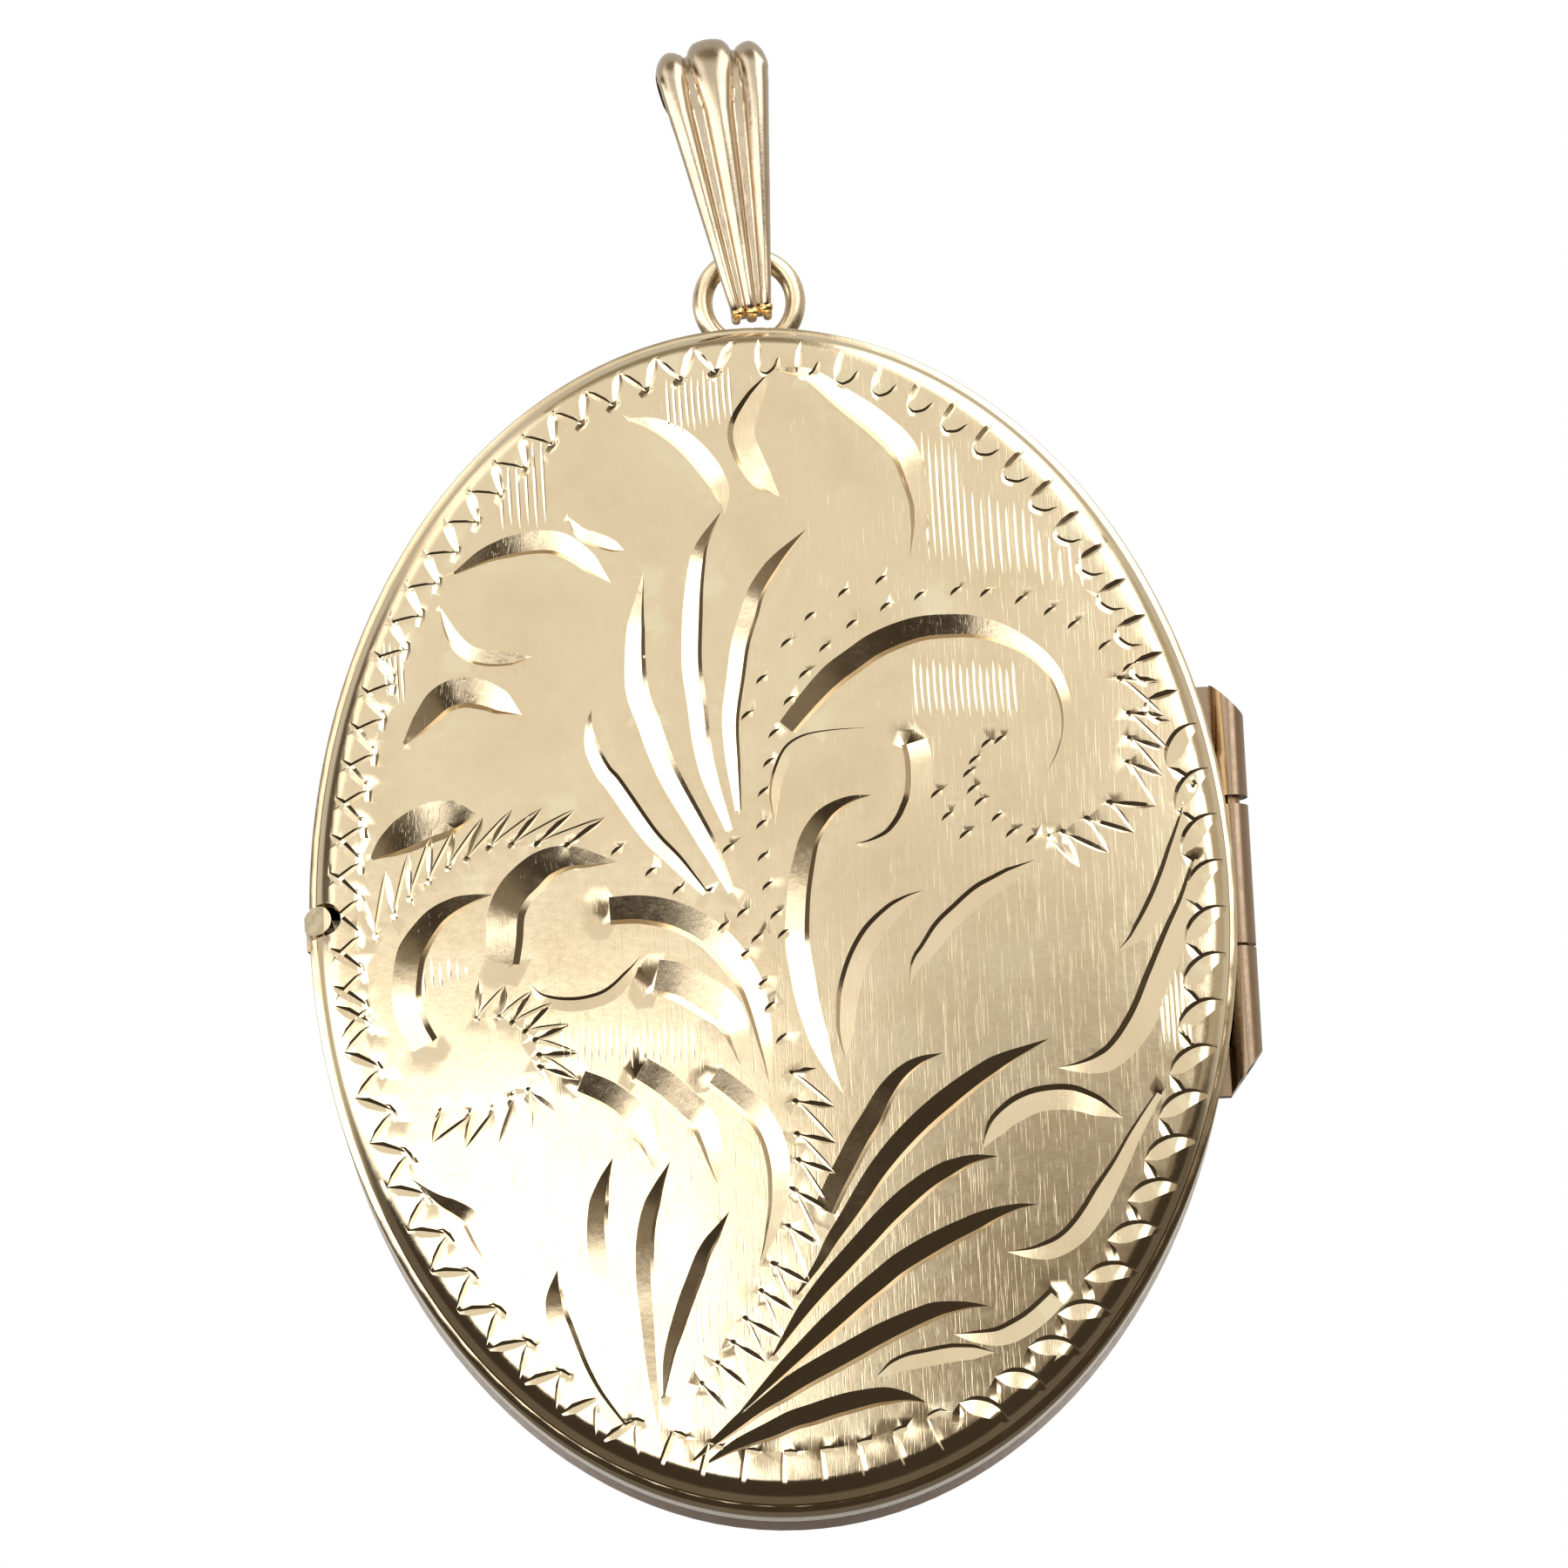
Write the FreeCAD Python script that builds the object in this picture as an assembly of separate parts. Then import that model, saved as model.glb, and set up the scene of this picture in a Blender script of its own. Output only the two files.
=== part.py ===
"""An oval hinged locket on a fluted bail, made as separate solids, one STEP file per sub-part.

Millimetres. The locket hangs upright: its engraved cover faces -Y, +X runs towards the hinge and +Z
towards the bail. The shapes are drawn about the middle of the flat back, and then moved so that the
origin is the point where a chain bears in the bail's bend.
"""

import math
import os

import FreeCAD, Part

V = FreeCAD.Vector

# Case: two equal oval trays that meet at the seam.
CASE_A = 14.0  # outer half width of the side band
CASE_B = 18.3  # outer half height of the side band
HALF_DEPTH = 2.6  # outside of one tray, from its face to the seam
BAND = 1.9  # height of one tray's side band, from the seam
LEDGE = 0.2  # the face stands this far inside the band
SHOULDER = 0.7  # radius that rolls the face into its side
WALL = 0.55  # thickness of the side band
FLOOR = 0.45  # thickness of the face
INNER_ROLL = 0.45  # radius inside the tray, under the shoulder
SEAM_GAP = 0.02  # each tray stops this far short of the seam
SEAM_Y = -HALF_DEPTH

# Inside each tray: an inner bezel wall, a card, a clear window and the frame that holds them down.
BEZEL_FIT = 0.1  # gap between the side band and the bezel
BEZEL_T = 0.35
BACK_BEZEL_PAST_SEAM = 0.75  # the back bezel stands this far into the front tray
FRONT_BEZEL_SHORT = 0.87  # the front bezel stops this far before the seam
CARD_INSET = 0.25  # the card and the window stand this far inside the bezel
CARD_T = 0.2
WINDOW_T = 0.25
FRAME_FIT = 0.1
FRAME_W = 1.5
FRAME_T = 0.55
FRAME_ROUND = 0.24

# Hinge: three tubes on one pin, on the +X side.
HINGE_X = CASE_A + 0.12
TUBE_R = 0.5
SEAT_R = 0.55  # hollow cut along both trays for the tubes
PIN_R = 0.25
RUNNING_GAP = 0.04  # between the pin and the middle tube's bore
WEB_T = 0.36  # plate that joins a tube to its own tray
WEB_OFF = 0.09  # the plate starts this far from the seam
HINGE_TOP = 6.8
HINGE_BOTTOM = -5.95
UPPER_GAP = (2.98, 3.26)
LOWER_GAP = (-1.44, -1.34)
UPPER_SLANT = 45.0  # the outer tubes' ends are cut at these angles, in degrees
LOWER_SLANT = 53.0

# Catch: a springy tongue that stands in the back tray and shows through a slot in the cover.
CATCH_Z = 0.24
SLOT_HALF = 0.50
SLOT_END_X = -(CASE_A - 1.0)
TONGUE_X = (-(CASE_A - 0.62), -(CASE_A - 0.84))
TONGUE_HALF = 0.40
HEAD_HALF = 0.44
HEAD_OUTER_X = -(CASE_A + 0.14)
HEAD_SHORT = 0.08  # the head stops this far below the face
HEAD_INNER_X = -(CASE_A - 0.70)
HEAD_SLANT = 45.0
CATCH_BEZEL_GAP = 0.9
FOOT_T = 0.3
LIP_OUT = 0.2  # the nail lip stands this far off the band, at the seam
LIP_DEPTH = 1.2

# Bow: a wire ring soldered on top of the back tray.
BOW_R = 1.44
BOW_WIRE_R = 0.31
BOW_Y = SEAM_Y + BOW_WIRE_R + 0.05
BOW_X = 0.13
BOW_Z = CASE_B + 1.44

# Bail: a fluted strip folded into a long loop round the bow. It is drawn about the bow wire's centre.
BAIL_TILT = 6.4  # it leans this many degrees towards -X, about the bow's centre
BAIL_T = 0.32
BAIL_TIP_Z = -1.88
BAIL_FOOT = 0.28  # solid metal below the point where the two legs meet
BAIL_WAIST_Z = -0.35
BAIL_BEND_Z = 5.4
BAIL_TIP_HALF_DEPTH = 0.36
BAIL_WAIST_HALF_DEPTH = 1.30
BAIL_BEND_R = 1.72
BAIL_TIP_HALF_W = 0.66
BAIL_WIRE_HALF_W = 0.92
BAIL_TOP_HALF_W = 1.75
FLUTE_SHARE = 0.33  # each groove lies this share of the half width from the middle
FLUTE_R_TIP = 0.05
FLUTE_R_TOP = 0.26
FLUTE_PROUD = 0.06  # the grooves are centred this far outside the strip
LOBE_CUT = 0.55  # the side ribs round off this far below the middle one

MARGIN = 5.0  # cutters run this far past what they cut


def oval(inset, y_from, y_to):
    """A solid oval plate, its outline this far inside the case's, between two planes across Y."""
    low, high = sorted((y_from, y_to))
    centre = V(0, low, 0)
    curve = Part.Ellipse(V(0, low, CASE_B - inset), V(CASE_A - inset, low, 0), centre)
    return Part.Face(Part.Wire([curve.toShape()])).extrude(V(0, high - low, 0))


def ring(outer_inset, width, y_from, y_to):
    """An oval ring of this width, between two planes across Y."""
    low, high = sorted((y_from, y_to))
    return oval(outer_inset, low, high).cut(oval(outer_inset + width, low - 1, high + 1))


def block(x, y, z):
    """A box between the given limits along X, Y and Z."""
    size = [abs(limits[1] - limits[0]) for limits in (x, y, z)]
    return Part.makeBox(*size, V(min(x), min(y), min(z)))


def edges_at(solid, y):
    """The edges of a solid that lie in the plane at this y."""
    found = []
    for edge in solid.Edges:
        box = edge.BoundBox
        if abs(box.YMin - y) < 1e-4 and abs(box.YMax - y) < 1e-4:
            found.append(edge)
    return found


def hinge_rod(radius, z_from, z_to):
    """A round bar on the hinge's axis."""
    return Part.makeCylinder(radius, z_to - z_from, V(HINGE_X, SEAM_Y, z_from), V(0, 0, 1))


def depth(side, from_seam):
    """The y of a plane at this distance from the seam, on the front (-1) or the back (+1)."""
    return SEAM_Y + side * from_seam


def tray(side):
    """One half of the case: a shallow oval tray with a rolled shoulder, a ledge and a side band."""
    face = depth(side, HALF_DEPTH)
    plate = oval(LEDGE, face, depth(side, BAND - 0.1))
    plate = plate.makeFillet(SHOULDER, edges_at(plate, face))
    band = oval(0, depth(side, BAND), depth(side, SEAM_GAP))
    inner_face = depth(side, HALF_DEPTH - FLOOR)
    hollow = oval(WALL, inner_face, depth(-side, 1))
    hollow = hollow.makeFillet(INNER_ROLL, edges_at(hollow, inner_face))
    seat = hinge_rod(SEAT_R, HINGE_BOTTOM - 0.1, HINGE_TOP + 0.1)
    return plate.fuse(band).removeSplitter().cut(hollow).cut(seat)


def catch_slot():
    """The slot in the cover's edge that the catch shows through, with a round inner end."""
    y = (depth(-1, HALF_DEPTH + 1), SEAM_Y + 0.5)
    centre_x = SLOT_END_X - SLOT_HALF
    round_end = Part.makeCylinder(SLOT_HALF, y[1] - y[0], V(centre_x, y[0], CATCH_Z), V(0, 1, 0))
    straight = block((-CASE_A - 1, centre_x), y, (CATCH_Z - SLOT_HALF, CATCH_Z + SLOT_HALF))
    return straight.fuse(round_end)


def bezel(side):
    """The thin inner wall soldered into a tray, open where the catch stands."""
    top = depth(-1, BACK_BEZEL_PAST_SEAM) if side > 0 else depth(side, FRONT_BEZEL_SHORT)
    whole = ring(WALL + BEZEL_FIT, BEZEL_T, depth(side, HALF_DEPTH - FLOOR - INNER_ROLL / 2), top)
    gap = (CATCH_Z - CATCH_BEZEL_GAP, CATCH_Z + CATCH_BEZEL_GAP)
    return whole.cut(block((-CASE_A, -CASE_A + 2), (-2 * HALF_DEPTH, 0), gap))


def inner_inset():
    """How far the bezel's inner wall lies inside the case's outline."""
    return WALL + BEZEL_FIT + BEZEL_T


def card(side):
    start = HALF_DEPTH - FLOOR
    return oval(inner_inset() + CARD_INSET, depth(side, start), depth(side, start - CARD_T))


def window(side):
    start = HALF_DEPTH - FLOOR - CARD_T
    return oval(inner_inset() + CARD_INSET, depth(side, start), depth(side, start - WINDOW_T))


def photo_frame(side):
    """The springy oval frame that holds the window down, with its seen edges rounded."""
    start = HALF_DEPTH - FLOOR - CARD_T - WINDOW_T
    top = depth(side, start - FRAME_T)
    solid = ring(inner_inset() + FRAME_FIT, FRAME_W, depth(side, start), top)
    return solid.makeFillet(FRAME_ROUND, edges_at(solid, top))


def knuckle(side, z_from, z_to, bore_r, own_tray):
    """One hinge tube with the plate that joins it to its own tray, bored for the pin."""
    web_y = (depth(side, WEB_OFF), depth(side, WEB_OFF + WEB_T))
    web = block((HINGE_X - 2.0, HINGE_X), web_y, (z_from, z_to))
    web = web.cut(oval(WALL / 2, -2 * HALF_DEPTH, 0))
    solid = hinge_rod(TUBE_R, z_from, z_to).fuse(web).removeSplitter()
    return solid.cut(hinge_rod(bore_r, z_from - 1, z_to + 1)).cut(own_tray)


def slant_cut(end_z, slant):
    """A big block whose face cuts a tube's outer end on a slant, longer on the side of the case.

    The slant is in degrees: positive for the upper end, negative for the lower one."""
    size = 4 * MARGIN
    low = 0 if slant > 0 else -size
    cutter = Part.makeBox(size, size, size, V(-size / 2, -size / 2, low))
    cutter.rotate(V(0, 0, 0), V(0, 1, 0), slant)
    cutter.translate(V(HINGE_X - TUBE_R, SEAM_Y, end_z))
    return cutter


def upper_knuckle(own_tray):
    solid = knuckle(1, UPPER_GAP[1], HINGE_TOP, PIN_R, own_tray)
    return solid.cut(slant_cut(HINGE_TOP, UPPER_SLANT))


def middle_knuckle(own_tray):
    return knuckle(-1, LOWER_GAP[1], UPPER_GAP[0], PIN_R + RUNNING_GAP, own_tray)


def lower_knuckle(own_tray):
    solid = knuckle(1, HINGE_BOTTOM, LOWER_GAP[0], PIN_R, own_tray)
    return solid.cut(slant_cut(HINGE_BOTTOM, -LOWER_SLANT))


def hinge_pin():
    """The pin, ending just inside the slanted ends of the outer tubes."""
    reach = TUBE_R + PIN_R
    low = HINGE_BOTTOM + reach * math.tan(math.radians(LOWER_SLANT))
    return hinge_rod(PIN_R, low, HINGE_TOP - reach * math.tan(math.radians(UPPER_SLANT)))


def catch_tongue():
    """The springy upright with its rounded head, which slopes like the cover's shoulder."""
    root = depth(1, HALF_DEPTH - FLOOR - FOOT_T)
    leaf = block(TONGUE_X, (root, SEAM_Y - 0.4), (CATCH_Z - TONGUE_HALF, CATCH_Z + TONGUE_HALF))
    head_y = (depth(-1, HALF_DEPTH - HEAD_SHORT), depth(-1, 0.08))
    centre_x = HEAD_INNER_X - HEAD_HALF
    head = Part.makeCylinder(HEAD_HALF, head_y[1] - head_y[0], V(centre_x, head_y[0], CATCH_Z), V(0, 1, 0))
    head = head.cut(block((-CASE_A - 2, HEAD_OUTER_X), (-MARGIN * 2, MARGIN), (-MARGIN, MARGIN)))
    slope = Part.makeBox(MARGIN * 2, MARGIN, MARGIN * 2, V(-MARGIN, -MARGIN, -MARGIN))
    slope.rotate(V(0, 0, 0), V(0, 0, 1), -HEAD_SLANT)
    slope.translate(V(HEAD_OUTER_X, depth(-1, BAND), CATCH_Z))
    head = head.cut(slope)
    joint_y = (depth(-1, 0.4), depth(-1, 0.08))
    joint = block((HEAD_INNER_X - 0.2, TONGUE_X[1]), joint_y, (CATCH_Z - TONGUE_HALF, CATCH_Z + TONGUE_HALF))
    return leaf.fuse([head, joint]).removeSplitter()


def catch_foot():
    """The pad on the floor of the back tray that the tongue springs from."""
    top = depth(1, HALF_DEPTH - FLOOR - FOOT_T)
    x = (TONGUE_X[0] - 0.02, TONGUE_X[1] + 0.2)
    pad = block(x, (top, depth(1, HALF_DEPTH - FLOOR)), (CATCH_Z - TONGUE_HALF, CATCH_Z + TONGUE_HALF))
    return pad.cut(tray(1))


def thumb_lip():
    """A small wedge on the back tray's band, in line with the catch, for a fingernail."""
    seam = depth(1, SEAM_GAP)
    end = depth(1, LIP_DEPTH)
    outline = [
        V(-CASE_A + WALL, seam, CATCH_Z - HEAD_HALF),
        V(-CASE_A - LIP_OUT, seam, CATCH_Z - HEAD_HALF),
        V(-CASE_A, end, CATCH_Z - HEAD_HALF),
        V(-CASE_A + WALL, end, CATCH_Z - HEAD_HALF),
    ]
    wedge = Part.Face(Part.makePolygon(outline + outline[:1])).extrude(V(0, 0, 2 * HEAD_HALF))
    return wedge.cut(oval(0, -2 * HALF_DEPTH, 1))


def bow_ring():
    """The wire ring on the back tray's top edge, cut to sit on the band."""
    ring_solid = Part.makeTorus(BOW_R, BOW_WIRE_R, V(BOW_X, BOW_Y, BOW_Z), V(0, 1, 0))
    return ring_solid.cut(oval(0, -2 * HALF_DEPTH, 0))


def bail_side(inset):
    """The bail's loop seen from the side, as a face in the plane x = 0, this far inside its outside."""
    waist = BAIL_WAIST_HALF_DEPTH - inset
    bend = BAIL_BEND_R - inset
    tip_half = BAIL_TIP_HALF_DEPTH
    tip_z = BAIL_TIP_Z
    if inset:
        # The inner outline ends almost in a point, where the two legs meet above the solid foot.
        tip_half = 0.02
        tip_z = BAIL_TIP_Z + BAIL_FOOT
    right = [V(0, tip_half, tip_z), V(0, waist, BAIL_WAIST_Z), V(0, bend, BAIL_BEND_Z)]
    left = [V(0, -p.y, p.z) for p in reversed(right)]
    top = Part.Arc(right[-1], V(0, 0, BAIL_BEND_Z + bend), left[0])
    lines = [Part.LineSegment(a, b) for a, b in ((right[0], right[1]), (right[1], right[2]))]
    lines.append(top)
    lines += [Part.LineSegment(a, b) for a, b in ((left[0], left[1]), (left[1], left[2]))]
    lines.append(Part.LineSegment(left[2], right[0]))
    return Part.Face(Part.Wire([curve.toShape() for curve in lines]))


def bail_front():
    """The bail from the front: a fan, narrow at the tip, its side ribs lower than the middle one."""
    top = BAIL_BEND_Z + BAIL_BEND_R
    points = [
        V(-BAIL_TIP_HALF_W, 0, BAIL_TIP_Z - 0.1),
        V(BAIL_TIP_HALF_W, 0, BAIL_TIP_Z - 0.1),
        V(BAIL_WIRE_HALF_W, 0, 0),
        V(BAIL_TOP_HALF_W, 0, top - LOBE_CUT),
        V(BAIL_TOP_HALF_W * 0.8, 0, top - LOBE_CUT * 0.35),
        V(BAIL_TOP_HALF_W * FLUTE_SHARE, 0, top + 0.1),
    ]
    points += [V(-p.x, 0, p.z) for p in reversed(points[2:])]
    return Part.Face(Part.makePolygon(points + points[:1]))


def flute_cutter(sign):
    """The groove on one side of the middle rib: a taper down each leg, joined by a hoop over the bend."""
    groove_r = BAIL_BEND_R + FLUTE_PROUD
    hoop_x = sign * BAIL_TOP_HALF_W * FLUTE_SHARE
    foot_x = sign * BAIL_WIRE_HALF_W * FLUTE_SHARE
    reach = 2 * BAIL_BEND_R
    upper = block((-reach, reach), (-reach, reach), (BAIL_BEND_Z, BAIL_BEND_Z + reach))
    hoop = Part.makeTorus(groove_r, FLUTE_R_TOP, V(hoop_x, 0, BAIL_BEND_Z), V(1, 0, 0)).common(upper)
    pieces = []
    for side in (-1, 1):
        low = V(foot_x, side * (BAIL_WAIST_HALF_DEPTH + FLUTE_PROUD), BAIL_WAIST_Z)
        high = V(hoop_x, side * groove_r, BAIL_BEND_Z)
        run = high.sub(low)
        pieces.append(Part.makeCone(FLUTE_R_TIP, FLUTE_R_TOP, run.Length, low, run))
        pieces.append(Part.makeSphere(FLUTE_R_TOP, high))
    return hoop.fuse(pieces)


def bail_place(shape):
    """Moves a shape drawn about the bow wire's centre to where the bail hangs, leaning on the bow."""
    shape.translate(V(BOW_X, BOW_Y, BOW_Z + BOW_R))
    shape.rotate(V(BOW_X, BOW_Y, BOW_Z), V(0, 1, 0), -BAIL_TILT)
    return shape


def bail():
    """The fluted loop."""
    wide = 2 * BAIL_TOP_HALF_W + 1
    outer = bail_side(0).extrude(V(wide, 0, 0))
    inner = bail_side(BAIL_T).extrude(V(wide, 0, 0))
    loop = outer.cut(inner)
    loop.translate(V(-wide / 2, 0, 0))
    fan = bail_front().extrude(V(0, 4 * BAIL_BEND_R, 0))
    fan.translate(V(0, -2 * BAIL_BEND_R, 0))
    solid = loop.common(fan)
    for sign in (-1, 1):
        solid = solid.cut(flute_cutter(sign))
    return bail_place(solid)


def chain_point():
    """Where a chain bears in the bail: inside the middle of its bend."""
    point = Part.Vertex(0, 0, BAIL_BEND_Z + BAIL_BEND_R - BAIL_T)
    return bail_place(point).Point


def build():
    """All sub-parts by node name."""
    back = tray(1)
    front = tray(-1).cut(catch_slot())
    return {
        "back_cover": back,
        "back_bezel": bezel(1).cut(back),
        "back_photo_card": card(1),
        "back_window": window(1),
        "back_photo_frame": photo_frame(1),
        "front_cover": front,
        "front_bezel": bezel(-1).cut(front),
        "front_photo_card": card(-1),
        "front_window": window(-1),
        "front_photo_frame": photo_frame(-1),
        "hinge_knuckle_upper": upper_knuckle(back),
        "hinge_knuckle_middle": middle_knuckle(front),
        "hinge_knuckle_lower": lower_knuckle(back),
        "hinge_pin": hinge_pin(),
        "catch_tongue": catch_tongue(),
        "catch_foot": catch_foot(),
        "thumb_lip": thumb_lip(),
        "bow_ring": bow_ring(),
        "bail": bail(),
    }


def main():
    os.makedirs("parts", exist_ok=True)
    to_origin = chain_point().negative()
    for name, shape in build().items():
        shape.translate(to_origin)
        shape.exportStep(os.path.join("parts", name + ".step"))
        solids = len(shape.Solids)
        print(f"{name}: valid {shape.isValid()}, {solids} solid, {shape.Volume:.3f} mm3")
    point = chain_point()
    print(f"chain point, about the middle of the back: {point.x:.3f} {point.y:.3f} {point.z:.3f}")


main()
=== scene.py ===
"""An engraved oval locket with its bail, hanging upright.

Lengths are in millimetres until they are multiplied by MM.
"""

import math

import bmesh
import bpy
import numpy as np
from mathutils import Matrix, Vector
from mathutils.geometry import delaunay_2d_cdt


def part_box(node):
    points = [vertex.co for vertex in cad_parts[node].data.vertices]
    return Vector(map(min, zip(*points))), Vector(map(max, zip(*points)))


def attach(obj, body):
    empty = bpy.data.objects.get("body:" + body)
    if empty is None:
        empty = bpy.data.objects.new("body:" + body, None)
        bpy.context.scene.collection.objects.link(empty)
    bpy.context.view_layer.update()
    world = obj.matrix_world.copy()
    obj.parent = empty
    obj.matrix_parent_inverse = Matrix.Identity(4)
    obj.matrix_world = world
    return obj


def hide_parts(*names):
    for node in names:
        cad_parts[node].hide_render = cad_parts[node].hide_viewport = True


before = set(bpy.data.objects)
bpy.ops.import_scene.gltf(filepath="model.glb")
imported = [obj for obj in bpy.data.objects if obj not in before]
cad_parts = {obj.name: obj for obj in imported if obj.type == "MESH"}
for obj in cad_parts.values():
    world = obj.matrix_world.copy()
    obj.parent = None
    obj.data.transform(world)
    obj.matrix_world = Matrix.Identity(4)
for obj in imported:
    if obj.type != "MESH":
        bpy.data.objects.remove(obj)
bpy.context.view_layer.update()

MM = 0.001

# The case, read from the frame. Case coordinates start at the oval's centre on the seam, and y is
# towards the back.
COVER_LOW, COVER_HIGH = [[c / MM for c in corner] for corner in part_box("front_cover")]
CASE_A = (COVER_HIGH[0] - COVER_LOW[0]) / 2
CASE_B = (COVER_HIGH[2] - COVER_LOW[2]) / 2
CENTRE = ((COVER_HIGH[0] + COVER_LOW[0]) / 2, COVER_HIGH[1], (COVER_HIGH[2] + COVER_LOW[2]) / 2)
DEPTH = COVER_HIGH[1] - COVER_LOW[1]

# The cover's section: a narrow ledge, a rounded shoulder, the wall, and the face's thickness and crown
LEDGE = 0.2
SHOULDER = 0.7
WALL = 0.55
FLOOR = 0.45
CROWN = 0.4
EDGE_ROLL = 0.04
INNER_ROLL = 0.45
CAP_INSET = 5

# The face's mesh: points round the rim, rings on the shoulder, and the grid that fills the face
RIM_STEPS = 280
RIM_SAMPLES = 3000
SHOULDER_STEPS = 7
INNER_ROLL_STEPS = 5
GRID = 0.5
ROW_PER_GRID = 0.87
GRID_ROOM = 0.075

# Cut profile: a big cut has its valley near the left side of its travel, with a steep wall there. A fine
# cut's valley is nearer its middle.
VALLEY_SHARE = 0.2
FINE_SHARE = 0.35
WIDEN = 1.12
DEPTH_PER_WIDTH = 0.17
DEEPEST = 0.17
SAMPLE = 0.16
FINE_SAMPLE = 0.4
DOT_SAMPLE = 0.15
PAST_END = 0.12


# ---------------------------------------------------------------- the engraving

# Width along a cut, as shares of its full width from its start to its end
LEAF = (0, 0.8, 1, 1, 0.9, 0.6, 0.1)
BLUNT = (0, 0.5, 0.8, 1, 1, 1, 0.95)
FROND = (0, 0.8, 1, 1, 0.95, 0.8, 0.35)
EVEN = (0, 0.8, 1, 1, 1, 0.8, 0)
STUB = (0.6, 1, 1, 1, 1, 1, 0.6)
TOOTH = (0.3, 1, 1, 0.9, 0.8, 0.6, 0.3)
SCALLOP = (0, 0.7, 1, 1, 0.9, 0.6, 0.2)
NICK = (0, 0.6, 1, 1, 1, 0.8, 0.3)

# Big cuts in case x and z: (points along it, full width, width shape)
UPPER_LEAVES = [
    ([(-4.45, 10.2), (-5.6, 11.3), (-6.55, 11.6), (-8, 11.35), (-9.2, 10.75)], 0.65, LEAF),
    ([(-4, 11.2), (-4.9, 11.6), (-5.3, 11.8), (-5.65, 12.3)], 0.4, LEAF),
    ([(-6.9, 8), (-8, 8), (-8.8, 8.2), (-9.3, 8.75), (-9.65, 9.65)], 0.45, LEAF),
    ([(4.65, 10.5), (5.05, 11.8), (5, 12.7), (4.6, 14), (3.8, 14.9), (2.9, 15.65), (1.85, 16.5),
      (0.85, 16.75)], 0.75, LEAF),
    ([(0.8, 12.65), (0.15, 13.45), (-0.3, 14.65), (0, 15.55), (0.65, 16.6)], 0.75, LEAF),
    ([(-0.9, 12.15), (-1, 13), (-1.45, 13.85), (-2.15, 14.65), (-2.95, 15.15), (-3.7, 15.35)], 0.6, LEAF),
]
FRONDS = [
    ([(-1, 12.3), (-1.65, 11.2), (-1.9, 10.1), (-2.05, 8.6), (-2.1, 7.4), (-2, 6.3), (-1.9, 5),
      (-1.7, 3.9), (-1.2, 2.3)], 0.55, FROND),
    ([(1.55, 11.6), (0.65, 10.7), (0, 9.8), (-0.3, 9), (-0.6, 8.1), (-0.8, 7), (-1, 5.8), (-1, 4.7),
      (-0.9, 2.9)], 0.5, FROND),
    ([(-3.45, 10.45), (-3.75, 8.7), (-3.8, 6.9), (-3.5, 5.8), (-3.2, 4.8), (-2.8, 3.8), (-1.9, 2),
      (-1.2, 0.4)], 0.62, FROND),
    ([(-5.2, 6.25), (-5.3, 5.7), (-5.2, 5), (-4.9, 4.3), (-4.6, 3.9), (-3.6, 2.3), (-2.9, 1.5),
      (-2, 0.4)], 0.5, FROND),
]
LEFT_LEAVES = [
    ([(-7.3, 6.2), (-7.9, 6.6), (-8.5, 6.9), (-9.1, 7), (-9.7, 6.8), (-10.2, 6.3), (-10.9, 5.5)], 0.85,
      LEAF),
    ([(-8.8, 3.2), (-9.5, 3.15), (-10.2, 3), (-10.9, 2.7), (-11.6, 2.3), (-12, 2)], 1.1, LEAF),
    ([(-4.6, 1.5), (-5.3, 1.6), (-6.1, 1.7), (-6.8, 1.5), (-7.3, 1.1), (-7.7, 0.7), (-8, 0.1),
      (-8.1, -0.8), (-8.2, -1.4)], 1, BLUNT),
    ([(-8.4, 0.7), (-9, 0.6), (-9.6, 0.4), (-10.2, 0), (-10.8, -0.8), (-11, -1.4), (-11.1, -2.4),
      (-10.9, -3.2), (-10.6, -3.8)], 0.8, BLUNT),
    ([(-7.4, -2.1), (-7, -2.6), (-6.1, -2.8), (-5.1, -2.6), (-4.4, -2), (-4, -1.4)], 0.4, EVEN),
]
CENTRE_LEAVES = [
    ([(-0.3, -5.7), (-0.4, -4.3), (-0.7, -2.7), (-1.1, -1.9), (-1.7, -1.1), (-2.3, -0.6), (-3.1, -0.2),
      (-4, 0), (-4.9, 0)], 0.8, BLUNT),
    ([(-1.2, -4.9), (-1.2, -4.3), (-1.3, -3.7), (-1.6, -3.2), (-2.1, -2.8), (-2.9, -2.3), (-3.6, -2.1)],
      1.05, BLUNT),
    ([(-3.8, -8), (-4, -7.2), (-4.2, -6.7), (-4.6, -6.1), (-5.2, -5.6), (-6, -5.2)], 0.75, BLUNT),
    ([(-2, -8.5), (-2.1, -7.7), (-2.2, -7.1), (-2.4, -6.5), (-2.9, -6), (-3.5, -5.4), (-4.2, -4.9)], 0.8,
      BLUNT),
    ([(-0.9, -11), (-0.6, -10.3), (-0.3, -9.3), (-0.2, -8.5), (-0.2, -7.8), (-0.4, -7), (-0.8, -6.3),
      (-1.4, -5.7), (-2, -5.2)], 0.65, BLUNT),
]
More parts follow.
